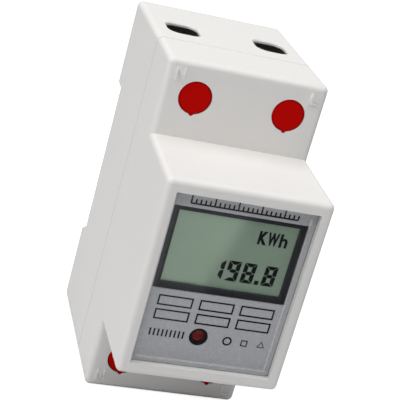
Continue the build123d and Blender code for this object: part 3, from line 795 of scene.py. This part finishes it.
@dataclass(frozen=True)
class CircuitResist(Finish):
    """Green solder resist over copper tracks on woven glass."""

    colour: Colour
    track: Colour
    track_scale: float = 420.0
    track_edge: Range = (0.45, 0.47)
    track_depth: float = 0.03 * MM
    track_bump: float = 0.5
    weave_scale: float = 2600.0
    weave_tone: Range = (0.92, 1.08)
    roughness: float = 0.3
    unevenness: float = 0.12

    def lay(self, graph: MaterialGraph) -> None:
        """Lays the resist over blocks of track.

        Args:
            graph: the material's graph.
        """
        place = graph.place()
        cells = graph.add("ShaderNodeTexVoronoi", distance="CHEBYCHEV")
        away = graph.fill(cells, Vector=place, Scale=self.track_scale)["Distance"]
        track = graph.span(away, *self.track_edge)
        weave = graph.noise(place, self.weave_scale, detail=1.0)
        base = graph.mix(track, self.colour, self.track)
        graph.coat(Base_Color=graph.toned(base, graph.waver(weave, *self.weave_tone)),
                   Roughness=graph.waver(weave, self.roughness, self.roughness + self.unevenness),
                   Normal=graph.bump(track, self.track_depth, self.track_bump))


@dataclass(frozen=True)
class LayeredRubber(Finish):
    """The contact strips' rubber: thin dark conductive layers between pale ones."""

    dark: Colour
    pale: Colour
    layer_pitch: float = 0.18 * MM
    layer_edge: Range = (0.2, 0.3)
    speck_scale: float = 3000.0
    roughness: Range = (0.6, 0.75)

    def lay(self, graph: MaterialGraph) -> None:
        """Lays the layers across the strip's length.

        Args:
            graph: the material's graph.
        """
        place = graph.place()
        layer = graph.math("MULTIPLY", graph.parts(place)[0], 1.0 / self.layer_pitch)
        side = graph.span(graph.math("PINGPONG", layer, 0.5), *self.layer_edge)
        graph.coat(Base_Color=graph.mix(side, self.dark, self.pale),
                   Roughness=graph.waver(graph.noise(place, self.speck_scale), *self.roughness))


class Dresser:
    """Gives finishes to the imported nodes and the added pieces."""

    def __init__(self, nodes: Dict[str, bpy.types.Object], effects: Effects) -> None:
        """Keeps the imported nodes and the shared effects.

        Args:
            nodes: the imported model's objects by name.
            effects: the shared effects.
        """
        self.nodes = nodes
        self.effects = effects
        self.made: Dict[str, bpy.types.Material] = {}

    def finish_of(self, finish: Finish) -> bpy.types.Material:
        """Finds a finish's material, which is built at its first use.

        Args:
            finish: the finish.

        Returns:
            Its material.
        """
        if finish.name not in self.made:
            self.made[finish.name] = finish.make(self.effects)
        return self.made[finish.name]

    def dress(self, finish: Finish, *names: str) -> None:
        """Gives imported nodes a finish.

        Args:
            finish: the finish to give them.
            names: the nodes' names.
        """
        material = self.finish_of(finish)
        for name in names:
            slots = self.nodes[name].data.materials
            if not slots:
                slots.append(material)
            for place in range(len(slots)):
                slots[place] = material
            log.info("dressed %s in %s", name, finish.name)

    def piece(self, name: str, mesh: bpy.types.Mesh, finish: Finish, slot: str,
              body: str = CASING_BODY) -> bpy.types.Object:
        """Adds a piece that rides on a body.

        Args:
            name: the piece's name.
            mesh: its mesh, in place.
            finish: the finish to give it.
            slot: not used.
            body: the body that carries it.

        Returns:
            The new object.
        """
        mesh.materials.clear()
        mesh.materials.append(self.finish_of(finish))
        piece = bpy.data.objects.new(name, mesh)
        bpy.context.scene.collection.objects.link(piece)
        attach(piece, body)
        log.info("added %s with %d faces", name, len(mesh.polygons))
        return piece


class FlatWork:
    """Makes thin solid shapes that lie on a plane facing the viewer."""

    @staticmethod
    def plates(name: str, outlines: Iterable[Outline], front_y: float, thickness: float) -> bpy.types.Mesh:
        """Makes one mesh of thin plates.

        Args:
            name: the mesh's name.
            outlines: each plate's corners as (x, z), in metres, anticlockwise seen from the front.
            front_y: where the plates' front faces lie.
            thickness: how far they reach back.

        Returns:
            The mesh.
        """
        work = bmesh.new()
        for outline in outlines:
            front = [work.verts.new((x, front_y, z)) for x, z in outline]
            back = [work.verts.new((x, front_y + thickness, z)) for x, z in outline]
            work.faces.new(front)
            work.faces.new(list(reversed(back)))
            for here in range(len(front)):
                after = (here + 1) % len(front)
                work.faces.new((front[here], back[here], back[after], front[after]))
        bmesh.ops.recalc_face_normals(work, faces=work.faces)
        mesh = bpy.data.meshes.new(name)
        work.to_mesh(mesh)
        work.free()
        return mesh

    @staticmethod
    def bar(x: float, z: float, width: float, height: float) -> Outline:
        """A rectangle's corners from its centre and size."""
        half, rise = width / 2, height / 2
        return [(x - half, z - rise), (x + half, z - rise), (x + half, z + rise), (x - half, z + rise)]

    @staticmethod
    def ring(x: float, z: float, outer: float, line: float, sides: int) -> List[Outline]:
        """The segments of an open ring or regular polygon.

        Args:
            x: centre.
            z: centre.
            outer: radius of the outside.
            line: width of its line.
            sides: number of segments.

        Returns:
            One outline for each segment.
        """
        turn = 2 * math.pi / sides
        start = turn / 2 - math.pi / 2
        pieces = []
        for step in range(sides):
            a, b = start + step * turn, start + (step + 1) * turn
            reach = [(outer, a), (outer, b), (outer - line, b), (outer - line, a)]
            pieces.append([(x + r * math.cos(t), z + r * math.sin(t)) for r, t in reach])
        return pieces

    @staticmethod
    def joined(name: str, meshes: Iterable[bpy.types.Mesh]) -> bpy.types.Mesh:
        """Makes one mesh of several, which are used up.

        Args:
            name: the new mesh's name.
            meshes: the meshes to join.

        Returns:
            The joined mesh.
        """
        work = bmesh.new()
        for mesh in meshes:
            work.from_mesh(mesh)
            bpy.data.meshes.remove(mesh)
        whole = bpy.data.meshes.new(name)
        work.to_mesh(whole)
        work.free()
        return whole

    @staticmethod
    def lettering(name: str, text: str, low: Point, high: Point, front_y: float, thickness: float,
                  weight: float = 0.0) -> bpy.types.Mesh:
        """Makes a word in plain letters, fitted into a rectangle.

        Args:
            name: the mesh's name.
            text: the letters.
            low: the rectangle's lower left corner as (x, z).
            high: its upper right corner.
            front_y: where the letters' front faces lie.
            thickness: how far they reach back.
            weight: how much the strokes are thickened, as a share of the type size.

        Returns:
            The mesh.
        """
        curve = bpy.data.curves.new(name, "FONT")
        curve.body = text
        curve.offset = weight
        curve.extrude = LETTER_DEPTH
        curve.resolution_u = LETTER_STEPS
        holder = bpy.data.objects.new(name, curve)
        bpy.context.scene.collection.objects.link(holder)
        bpy.context.view_layer.update()
        mesh = bpy.data.meshes.new_from_object(holder)
        bpy.data.objects.remove(holder)
        bpy.data.curves.remove(curve)
        ends = [[end(v.co[axis] for v in mesh.vertices) for end in (min, max)] for axis in range(3)]
        for vertex in mesh.vertices:
            across, up, out = [(place - least) / (most - least)
                               for place, (least, most) in zip(vertex.co, ends)]
            vertex.co = (low[0] + across * (high[0] - low[0]), front_y + (1 - out) * thickness,
                         low[1] + up * (high[1] - low[1]))
        mesh.update()
        return mesh


@dataclass
class SubAssembly:
    """A group of the meter's pieces, with the dresser that finishes them."""

    dresser: Dresser


@dataclass(frozen=True)
class TerminalMark:
    """A raised letter, the place of its centre across the casing and its size."""

    letter: str
    x: float
    width: float
    height: float


@dataclass
class Casing(SubAssembly):
    """The two mouldings of the case and the marks raised on their shoulders."""

    mark_rise: float = 0.4 * MM
    mark_sink: float = 0.05 * MM
    mark_end_offset: float = 3.1 * MM
    plug_recess: float = 0.1 * MM
    neutral_mark: TerminalMark = TerminalMark("N", -14.9 * MM, 1.95 * MM, 2.9 * MM)
    line_mark: TerminalMark = TerminalMark("L", 15.2 * MM, 1.75 * MM, 2.45 * MM)
    # The shell gets painted shade deep in its openings, on the wire entries' walls and in the seam; its edges
    # are painted paler, a painted highlight.
    shell_finish: MouldedPlastic = MouldedPlastic(
        "white_moulding", (0.80, 0.785, 0.765), roughness=0.5, mottle=0.02, edge_share=0.12, dust=0.03,
        deep_share=0.95, entry_share=1.0, seam_share=0.3)
    # The letters' plastic is painted paler than the case's, with whiter edges: a painted highlight.
    mark_finish: MouldedPlastic = MouldedPlastic(
        "highlighted_raised_moulding", (0.84, 0.825, 0.805), roughness=0.45, mottle=0.02, edge_share=0.2, dust=0.0)

    def dress(self) -> None:
        """Gives the mouldings their finish."""
        self.dresser.dress(self.shell_finish, "rear_housing", "front_cover")

    def raise_marks(self) -> None:
        """Adds the letters beside the four terminals, raised in the case's own plastic, painted a little
        lighter than the case as a painted highlight on their faces.
        """
        shoulder_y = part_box("screw_plug_neutral_top")[0].y - self.plug_recess
        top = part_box("front_cover")[1].z - self.mark_end_offset
        for terminal in Terminal:
            name = f"terminal_mark_{terminal.value}"
            mark = self.neutral_mark if terminal.neutral else self.line_mark
            z = top if terminal.upper else -top
            low = (mark.x - mark.width / 2, z - mark.height / 2)
            high = (mark.x + mark.width / 2, z + mark.height / 2)
            mesh = FlatWork.lettering(name, mark.letter, low, high, shoulder_y - self.mark_rise,
                                      self.mark_rise + self.mark_sink)
            self.dresser.piece(name, mesh, self.mark_finish, "housing")


@dataclass
class RailMount(SubAssembly):
    """The clip that grips the rail and the spring behind it."""

    clip_travel: float = 2.6 * MM
    clip_finish: MouldedPlastic = MouldedPlastic(
        "clip_moulding", (0.76, 0.745, 0.72), roughness=0.42, mottle=0.03, grain_depth=0.08, edge_share=0.2)
    spring_finish: PlatedMetal = PlatedMetal(
        "spring_wire", (0.55, 0.55, 0.56), (0.38, 0.36, 0.34), roughness=0.28)

    def dress(self) -> None:
        """Gives the clip and its spring their finishes."""
        self.dresser.dress(self.clip_finish, "rail_clip")
        self.dresser.dress(self.spring_finish, "clip_spring")

    def coil_spring(self) -> None:
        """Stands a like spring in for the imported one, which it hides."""
        mesh = self.dresser.nodes["clip_spring"].data.copy()
        coil = self.dresser.piece("clip_spring_coil", mesh, self.spring_finish, "spring_steel")
        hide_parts("clip_spring")
        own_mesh(coil)


@dataclass
class Terminals(SubAssembly):
    """The rising cages, their screws, the plugs over them and the bars they grip on."""

    # The plugs' darker red edges are painted shade on their rims.
    plug_finish: MouldedPlastic = MouldedPlastic(
        "red_plug", (0.52, 0.002, 0.001), roughness=0.42, mottle=0.08, grain_scale=2400.0, grain_depth=0.2,
        edge_colour=(0.35, 0.002, 0.001), edge_share=0.6, dust=0.0, specular=0.02)
    # The cages are painted dark where they lie deep in their chambers: painted shade.
    cage_finish: PlatedMetal = PlatedMetal(
        "nickel_cage", (0.5, 0.49, 0.46), (0.36, 0.33, 0.29), roughness=0.38, deep_share=0.95)
    screw_finish: PlatedMetal = PlatedMetal(
        "zinc_screw", (0.70, 0.69, 0.66), (0.52, 0.5, 0.46), roughness=0.26, thread_pitch=0.8 * MM,
        thread_depth=0.25 * MM)
    copper_finish: PlatedMetal = PlatedMetal(
        "rolled_copper", (0.80, 0.44, 0.28), (0.55, 0.26, 0.15), roughness=0.28, stretch=(1.0, 1.0, 0.05))
    shunt_finish: PlatedMetal = PlatedMetal(
        "resistance_alloy", (0.55, 0.45, 0.36), (0.4, 0.32, 0.25), roughness=0.36, stretch=(1.0, 1.0, 0.05))

    def dress(self) -> None:
        """Gives every terminal's pieces and the bars their finishes."""
        for kind, finish in (("clamp_cage", self.cage_finish), ("clamp_screw", self.screw_finish),
                             ("screw_plug", self.plug_finish)):
            self.dresser.dress(finish, *[f"{kind}_{terminal.value}" for terminal in Terminal])
        self.dresser.dress(self.copper_finish, "neutral_bar", "line_bar_upper", "line_bar_lower")
        self.dresser.dress(self.shunt_finish, "shunt_strip")


@dataclass(frozen=True)
class UnitLetter:
    """A letter of the unit, its left and right edges and how much heavier its strokes are made."""

    letter: str
    left: float
    right: float
    weight: float


@dataclass
class Reading:
    """The digits and the unit that the display shows."""

    digit_width: float = 2.7 * MM
    digit_height: float = 4.65 * MM
    stroke: float = 0.92 * MM
    cross_stroke: float = 0.8 * MM
    gap: float = 0.07 * MM
    lean: float = 0.05
    baseline: float = 0.65 * MM
    starts: Tuple[float, ...] = (-3.15 * MM, 0.2 * MM, 3.65 * MM, 8.35 * MM)
    point_x: float = 7.35 * MM
    unit: Tuple[UnitLetter, ...] = (
        UnitLetter("K", 4.95 * MM, 6.9 * MM, 0.055),
        UnitLetter("W", 6.95 * MM, 9.4 * MM, 0.05),
        UnitLetter("h", 9.65 * MM, 11.4 * MM, 0.025),
    )
    unit_base: float = 9.85 * MM
    unit_height: float = 3.08 * MM
    film: float = 0.02 * MM
    lift: float = 0.03 * MM
    figures: str = "1988"
    lit: ClassVar[Dict[str, str]] = {
        "0": "abcdef", "1": "bc", "2": "abdeg", "3": "abcdg", "4": "bcfg",
        "5": "acdfg", "6": "acdefg", "7": "abc", "8": "abcdefg", "9": "abcdfg",
    }

    def segments(self) -> Dict[str, Outline]:
        """Draws the seven strokes of one digit, before it leans.

        Returns:
            Each stroke's corners, from the digit's lower left, by its letter.
        """
        w, h, t, c, g = self.digit_width, self.digit_height, self.stroke, self.cross_stroke, self.gap
        middle = h / 2
        top = [(g, h), (t + g, h - c), (w - t - g, h - c), (w - g, h)]
        side = [(0, h - g), (0, middle + 2 * g), (t / 2, middle + g), (t, middle + c / 2 + g), (t, h - c - g)]
        bar = [(t / 2 + g, middle), (t + g, middle - c / 2), (w - t - g, middle - c / 2),
               (w - t / 2 - g, middle), (w - t - g, middle + c / 2), (t + g, middle + c / 2)]

        def flipped(shape: Outline, across: bool, over: bool) -> Outline:
            """A stroke mirrored across the digit's width or height."""
            return [(w - x if across else x, h - z if over else z) for x, z in shape]

        return {
            "a": top, "d": flipped(top, False, True), "f": side, "b": flipped(side, True, False),
            "e": flipped(side, False, True), "c": flipped(side, True, True), "g": bar,
        }

    def outlines(self) -> List[Outline]:
        """Draws the lit strokes and the decimal point.

        Returns:
            The corners of each, in place.
        """
        strokes = self.segments()
        shapes = [[(start + x + self.lean * z, self.baseline + z) for x, z in strokes[name]]
                  for start, figure in zip(self.starts, self.figures) for name in self.lit[figure]]
        half = self.stroke / 2
        shapes.append(FlatWork.bar(self.point_x, self.baseline + half, self.stroke, self.stroke))
        return shapes


@dataclass
class FacePrint:
    """Plain printed shapes on the face plate: a graduated line, blank fields and outline figures."""

    line: float = 0.36 * MM
    film: float = 0.02 * MM
    lift: float = 0.03 * MM
    scale_low: Point = (-11.5 * MM, 17.15 * MM)
    scale_pitch: float = 1.0 * MM
    scale_steps: int = 23
    tick: float = 0.85 * MM
    long_tick: float = 1.6 * MM
    long_every: int = 5
    field_rows: Tuple[float, ...] = (-5.1 * MM, -8.4 * MM)
    field_starts: Tuple[float, ...] = (-12.6 * MM, -3.6 * MM, 5.4 * MM)
    field_width: float = 7.2 * MM
    field_height: float = 2.1 * MM
    figure_z: float = -12.7 * MM
    figure_radius: float = 1.05 * MM
    figures: Tuple[Tuple[float, int], ...] = ((4.4 * MM, 24), (8.2 * MM, 4), (12.0 * MM, 3))
    bar_start: float = -12.6 * MM
    bar_pitch: float = 0.9 * MM
    bar_count: int = 9
    bar_height: float = 1.7 * MM

    def outlines(self) -> List[Outline]:
        """Draws every printed shape.

        Returns:
            The corners of each, in place.
        """
        x, z = self.scale_low
        length = self.scale_pitch * self.scale_steps
        shapes: List[Outline] = [FlatWork.bar(x + length / 2, z, length, self.line)]
        for step in range(self.scale_steps + 1):
            rise = self.tick if step % self.long_every else self.long_tick
            shapes.append(FlatWork.bar(x + step * self.scale_pitch, z + rise / 2, self.line, rise))
        for row in self.field_rows:
            for start in self.field_starts:
                shapes.extend(self.frame(start + self.field_width / 2, row))
        for place, sides in self.figures:
            shapes.extend(FlatWork.ring(place, self.figure_z, self.figure_radius, self.line, sides))
        for step in range(self.bar_count):
            shapes.append(FlatWork.bar(self.bar_start + step * self.bar_pitch, self.figure_z,
                                       self.line, self.bar_height))
        return shapes

    def frame(self, x: float, z: float) -> List[Outline]:
        """Draws the four lines of one blank field.

        Args:
            x: centre.
            z: centre.

        Returns:
            The corners of each line.
        """
        wide, high = self.field_width / 2, self.field_height / 2
        across = [FlatWork.bar(x, z + side * high, 2 * wide + self.line, self.line) for side in (-1, 1)]
        return across + [FlatWork.bar(x + side * wide, z, self.line, 2 * high) for side in (-1, 1)]


@dataclass
class Display(SubAssembly):
    """The window, the plate behind it, the glass in its black frame and the pulse lamp."""

    reading: Reading
    face_print: FacePrint
    ridge_inset: float = 1.4 * MM
    ridge_width: float = 0.5 * MM
    ridge_film: float = 0.02 * MM
    window_finish: ClearSheet = ClearSheet("clear_acrylic", (0.985, 0.992, 0.995))
    plate_finish: SilverPlate = SilverPlate(
        "silver_plate", (0.635, 0.62, 0.645), (0.9, 0.9, 0.93), (0.4, 0.4, 0.42))
    black_finish: MouldedPlastic = MouldedPlastic(
        "black_moulding", (0.022, 0.0225, 0.027), roughness=0.6, mottle=0.1, grain_depth=0.1,
        edge_colour=(0.05, 0.05, 0.055), edge_share=0.4, dust=0.01, specular=0.25)
    sleeve_finish: MouldedPlastic = MouldedPlastic(
        "lamp_sleeve_moulding", (0.006, 0.006, 0.007), roughness=0.6, mottle=0.1, grain_depth=0.1,
        edge_colour=(0.02, 0.02, 0.02), edge_share=0.3, dust=0.0, specular=0.1)
    # A painted highlight along the window's lower and right ridges.
    ridge_highlight_finish: PaintedRidgeHighlight = PaintedRidgeHighlight("painted_ridge_highlight", (0.8, 0.81, 0.84))
    glass_finish: DisplayGlass = DisplayGlass("display_glass", (0.605, 0.79, 0.61), (0.615, 0.8, 0.61))
    rubber_finish: LayeredRubber = LayeredRubber("layered_rubber", (0.02, 0.02, 0.02), (0.66, 0.5, 0.5))
    lamp_finish: TintedResin = TintedResin("red_resin", (0.09, 0.001, 0.002), (0.2, 0.003, 0.005))
    digit_finish: PrintedInk = PrintedInk("dark_segment", (0.004, 0.005, 0.006), roughness=0.6)
    ink_finish: PrintedInk = PrintedInk("dark_ink", (0.012, 0.012, 0.014))

    def dress(self) -> None:
        """Gives the display's nodes their finishes."""
        self.dresser.dress(self.window_finish, "display_window")
        self.dresser.dress(self.plate_finish, "face_plate")
        self.dresser.dress(self.black_finish, "lcd_bezel")
        self.dresser.dress(self.sleeve_finish, "lamp_sleeve")
        self.dresser.dress(self.glass_finish, "lcd_panel")
        self.dresser.dress(self.rubber_finish, "contact_strip_upper", "contact_strip_lower")
        self.dresser.dress(self.lamp_finish, "pulse_lamp")

    def show_reading(self) -> None:
        """Lays the lit digits and the unit just in front of the display glass."""
        reading = self.reading
        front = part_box("lcd_panel")[0].y - reading.lift
        digits = FlatWork.plates("reading_digits", reading.outlines(), front, reading.film)
        self.dresser.piece("reading_digits", digits, self.digit_finish, "lcd")
        top = reading.unit_base + reading.unit_height
        letters = [FlatWork.lettering(f"letter_{one.letter}", one.letter, (one.left, reading.unit_base),
                                      (one.right, top), front, reading.film, weight=one.weight)
                   for one in reading.unit]
        self.dresser.piece("reading_unit", FlatWork.joined("reading_unit", letters), self.digit_finish, "lcd")

    def paint_ridge_highlight(self) -> None:
        """Lays the painted highlight along the lower and right ridges, where the window's face meets its
        bevel.
        """
        low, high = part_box("display_window")
        wide, tall = high.x - self.ridge_inset, high.z - self.ridge_inset
        half = self.ridge_width / 2
        strips = [FlatWork.bar(0.0, -tall, 2 * (wide + half), self.ridge_width),
                  FlatWork.bar(wide, half, self.ridge_width, 2 * tall)]
        mesh = FlatWork.plates("window_ridge_highlight", strips, low.y - self.ridge_film / 2, self.ridge_film)
        self.dresser.piece("window_ridge_highlight", mesh, self.ridge_highlight_finish, "window")

    def print_plate(self) -> None:
        """Prints the plain shapes on the face plate."""
        sheet = self.face_print
        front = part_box("face_plate")[0].y - sheet.lift
        mesh = FlatWork.plates("plate_print", sheet.outlines(), front, sheet.film)
        self.dresser.piece("plate_print", mesh, self.ink_finish, "face_plate")


@dataclass
class Electronics(SubAssembly):
    """The circuit board with the parts that stand on it, and the leads to the bars."""

    board_finish: CircuitResist = CircuitResist("green_resist", (0.012, 0.14, 0.045), (0.03, 0.22, 0.06))
    screw_finish: PlatedMetal = PlatedMetal("zinc_fastener", (0.66, 0.66, 0.67), (0.5, 0.49, 0.46))
    film_finish: MouldedPlastic = MouldedPlastic(
        "yellow_potting_box", (0.78, 0.5, 0.04), roughness=0.3, mottle=0.04, grain_depth=0.05)
    can_finish: PlatedMetal = PlatedMetal("drawn_can", (0.72, 0.72, 0.73), (0.6, 0.6, 0.6), roughness=0.22)
    varistor_finish: MouldedPlastic = MouldedPlastic(
        "blue_epoxy", (0.02, 0.1, 0.34), roughness=0.28, mottle=0.12, grain_scale=1400.0, grain_depth=0.5)
    resistor_finish: MouldedPlastic = MouldedPlastic(
        "flameproof_coat", (0.3, 0.42, 0.46), roughness=0.7, mottle=0.1, grain_scale=2600.0, grain_depth=0.4)
    chip_finish: MouldedPlastic = MouldedPlastic(
        "chip_epoxy", (0.014, 0.014, 0.014), roughness=0.65, mottle=0.12, grain_depth=0.25, specular=0.3)
    lead_finish: MouldedPlastic = MouldedPlastic(
        "lead_insulation", (0.02, 0.02, 0.021), roughness=0.38, mottle=0.06, grain_depth=0.04)

    def dress(self) -> None:
        """Gives the board, its parts and the leads their finishes."""
        self.dresser.dress(self.board_finish, "main_board")
        self.dresser.dress(self.screw_finish, "board_screws")
        self.dresser.dress(self.film_finish, "film_capacitor")
        self.dresser.dress(self.can_finish, "smoothing_capacitor", "timing_crystal")
        self.dresser.dress(self.varistor_finish, "surge_varistor")
        self.dresser.dress(self.resistor_finish, "power_resistor")
        self.dresser.dress(self.chip_finish, "meter_chip", "control_chip")
        self.dresser.dress(self.lead_finish, "neutral_lead", "sense_lead_upper", "sense_lead_lower")


@dataclass(frozen=True)
class SoftLight:
    """One square light that faces the meter."""

    name: str
    place: Spot
    power: float
    size: float


@dataclass
class Studio:
    """The floor, the lights, the white surround and the camera."""

    camera_place: Spot = (-80.69 * MM, -284.96 * MM, 109.51 * MM)
    camera_aim: Spot = (-2.2 * MM, -35.0 * MM, 8.12 * MM)
    camera_roll: float = 15.895
    lens: float = 114.3
    sensor: float = 36.0
    floor_half: float = 4.0
    floor_colour: Colour = (0.78, 0.79, 0.81)
    floor_scale: float = 6.0
    floor_tone: Range = (0.98, 1.0)
    floor_lift: float = 0.82
    matt: float = 0.9
    near_clip: float = 0.01
    flag_low: Point = (-40.0 * MM, -280.0 * MM)
    flag_high: Point = (130.0 * MM, -88.0 * MM)
    flag_rise: float = 1.0 * MM
    flag_light: float = 0.06
    flag_pale: float = 0.25
    flag_blur: float = 2.0 * MM
    flag_scale: float = 60.0
    flag_tone: Range = (0.9, 1.1)
    flag_border: Tuple[Point, Point] = ((51.8 * MM, -194.9 * MM), (26.1 * MM, -143.2 * MM))
    ambient: float = 0.09
    lights: Tuple[SoftLight, ...] = (
        SoftLight("over_light", (0.0, 0.0, 0.75), 3.1, 0.6),
        SoftLight("front_light", (-0.1, -0.5, 0.6), 2.0, 0.5),
        SoftLight("left_light", (-0.65, -0.1, 0.45), 2.45, 0.5),
    )

    def build(self) -> None:
        """Builds the whole studio."""
        self._surround()
        self._floor()
        self._flag()
        for light in self.lights:
            self._hang(light)
        self._camera()
        bpy.context.scene.view_settings.view_transform = "Standard"

    @staticmethod
    def _seen_directly(graph: Graph) -> Socket:
        """Tells the rays that see the surround from the rays that carry its light.

        Args:
            graph: the world's graph.

        Returns:
            1 for camera, glossy and transmission rays, and 0 for the others.
        """
        path = graph.add("ShaderNodeLightPath")
        seen = graph.math("MAXIMUM", path.outputs["Is Camera Ray"], path.outputs["Is Glossy Ray"])
        return graph.math("MAXIMUM", seen, path.outputs["Is Transmission Ray"])

    def _surround(self) -> None:
        """A white world to look at, which lights the object at a plain level."""
        world = bpy.data.worlds.new("studio_surround")
        world.use_nodes = True
        world.node_tree.nodes.clear()
        graph = Graph(world.node_tree)
        lighting, shown = [
            graph.fill(graph.add("ShaderNodeBackground"), Color=WHITE, Strength=strength)["Background"]
            for strength in (self.ambient, 1.0)]
        output = graph.add("ShaderNodeOutputWorld")
        graph.wire(graph.blend(self._seen_directly(graph), lighting, shown), output.inputs["Surface"])
        bpy.context.scene.world = world

    @staticmethod
    def _sheet(name: str, low: Point, high: Point, height: float,
               graph: MaterialGraph) -> bpy.types.Object:
        """Lays a flat rectangle.

        Args:
            name: the new object's name.
            low: its left near corner as (x, y).
            high: its right far corner.
            height: where it lies.
            graph: its material's graph.

        Returns:
            The new object.
        """
        (left, near), (right, far) = low, high
        corners = [(left, near, height), (right, near, height), (right, far, height), (left, far, height)]
        mesh = bpy.data.meshes.new(name)
        mesh.from_pydata(corners, [], [(0, 1, 2, 3)])
        mesh.materials.append(graph.material)
        sheet = bpy.data.objects.new(name, mesh)
        bpy.context.scene.collection.objects.link(sheet)
        return sheet

    def _floor(self) -> None:
        """A plain pale floor under the meter, white to look at and still shaded by it."""
        graph = MaterialGraph("pale_floor")
        tone = graph.waver(graph.noise(graph.place(), self.floor_scale), *self.floor_tone)
        graph.coat(Base_Color=graph.toned(self.floor_colour, tone), Roughness=self.matt,
                   Specular_IOR_Level=0.0)
        shown = graph.add("ShaderNodeLightPath").outputs["Is Camera Ray"]
        lift = graph.math("MULTIPLY", shown, self.floor_lift)
        glow = graph.fill(graph.add("ShaderNodeEmission"), Color=WHITE, Strength=lift)["Emission"]
        both = graph.add("ShaderNodeAddShader")
        graph.wire(graph.shader.outputs["BSDF"], both.inputs[0])
        graph.wire(glow, both.inputs[1])
        graph.show(both.outputs["Shader"])
        reach = self.floor_half
        floor = self._sheet("studio_floor", (-reach, -reach), (reach, reach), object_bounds()[0][2], graph)
        floor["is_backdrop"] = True

    @staticmethod
    def _aimed(place: Vector, aim: Vector, roll: float = 0.0) -> Matrix:
        """A placement whose -Z looks at a point.

        Args:
            place: where it stands.
            aim: the point it looks at.
            roll: turn about the line of sight, in degrees, anticlockwise for the viewer.

        Returns:
            The world matrix.
        """
        turn = (aim - place).to_track_quat("-Z", "Y").to_matrix().to_4x4()
        return Matrix.Translation(place) @ turn @ Matrix.Rotation(math.radians(roll), 4, "Z")

    def _flag(self) -> None:
        """A card on the floor that only reflections see: dark, and paler past a slanted line."""
        graph = MaterialGraph("dark_card")
        place = graph.place()
        (x, y), (far_x, far_y) = self.flag_border
        length = math.hypot(far_x - x, far_y - y)
        across = ((far_y - y) / length, (x - far_x) / length, 0.0)
        border = x * across[0] + y * across[1]
        away = graph.vector("DOT_PRODUCT", place, across)["Value"]
        paler = graph.span(away, border + self.flag_blur, border - self.flag_blur)
        tone = graph.mix(paler, (self.flag_light,) * 3, (self.flag_pale,) * 3)
        weave = graph.waver(graph.noise(place, self.flag_scale), *self.flag_tone)
        graph.coat(Base_Color=graph.toned(tone, weave), Roughness=self.matt, Specular_IOR_Level=0.0)
        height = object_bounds()[0][2] + self.flag_rise
        flag = self._sheet("reflection_flag", self.flag_low, self.flag_high, height, graph)
        flag.visible_camera = False
        flag.visible_diffuse = False
        flag.visible_shadow = False
        flag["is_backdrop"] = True

    def _hang(self, light: SoftLight) -> None:
        """Adds one soft light, facing the middle of the picture.

        Args:
            light: its name, place, power and size.
        """
        lamp = bpy.data.lights.new(light.name, "AREA")
        lamp.energy = light.power
        lamp.size = light.size
        holder = bpy.data.objects.new(light.name, lamp)
        holder.matrix_world = self._aimed(Vector(light.place), Vector(self.camera_aim))
        bpy.context.scene.collection.objects.link(holder)

    def _camera(self) -> None:
        """Stands the camera where the photograph was taken from."""
        lens = bpy.data.cameras.new("photo_camera")
        lens.lens = self.lens
        lens.sensor_width = self.sensor
        lens.sensor_fit = "HORIZONTAL"
        lens.clip_start = self.near_clip
        camera = bpy.data.objects.new("photo_camera", lens)
        camera.matrix_world = self._aimed(Vector(self.camera_place), Vector(self.camera_aim),
                                          self.camera_roll)
        bpy.context.scene.collection.objects.link(camera)
        bpy.context.scene.camera = camera


def main() -> None:
    """Builds and dresses the meter."""
    logging.basicConfig(level=logging.INFO, format="%(name)s: %(message)s")
    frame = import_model()
    dresser = Dresser(frame["nodes"], Effects())
    casing = Casing(dresser)
    casing.dress()
    casing.raise_marks()
    mount = RailMount(dresser)
    mount.dress()
    mount.coil_spring()
    Terminals(dresser).dress()
    display = Display(dresser, Reading(), FacePrint())
    display.dress()
    display.show_reading()
    display.print_plate()
    display.paint_ridge_highlight()
    Electronics(dresser).dress()
    Studio().build()


if __name__ == "__main__":
    main()
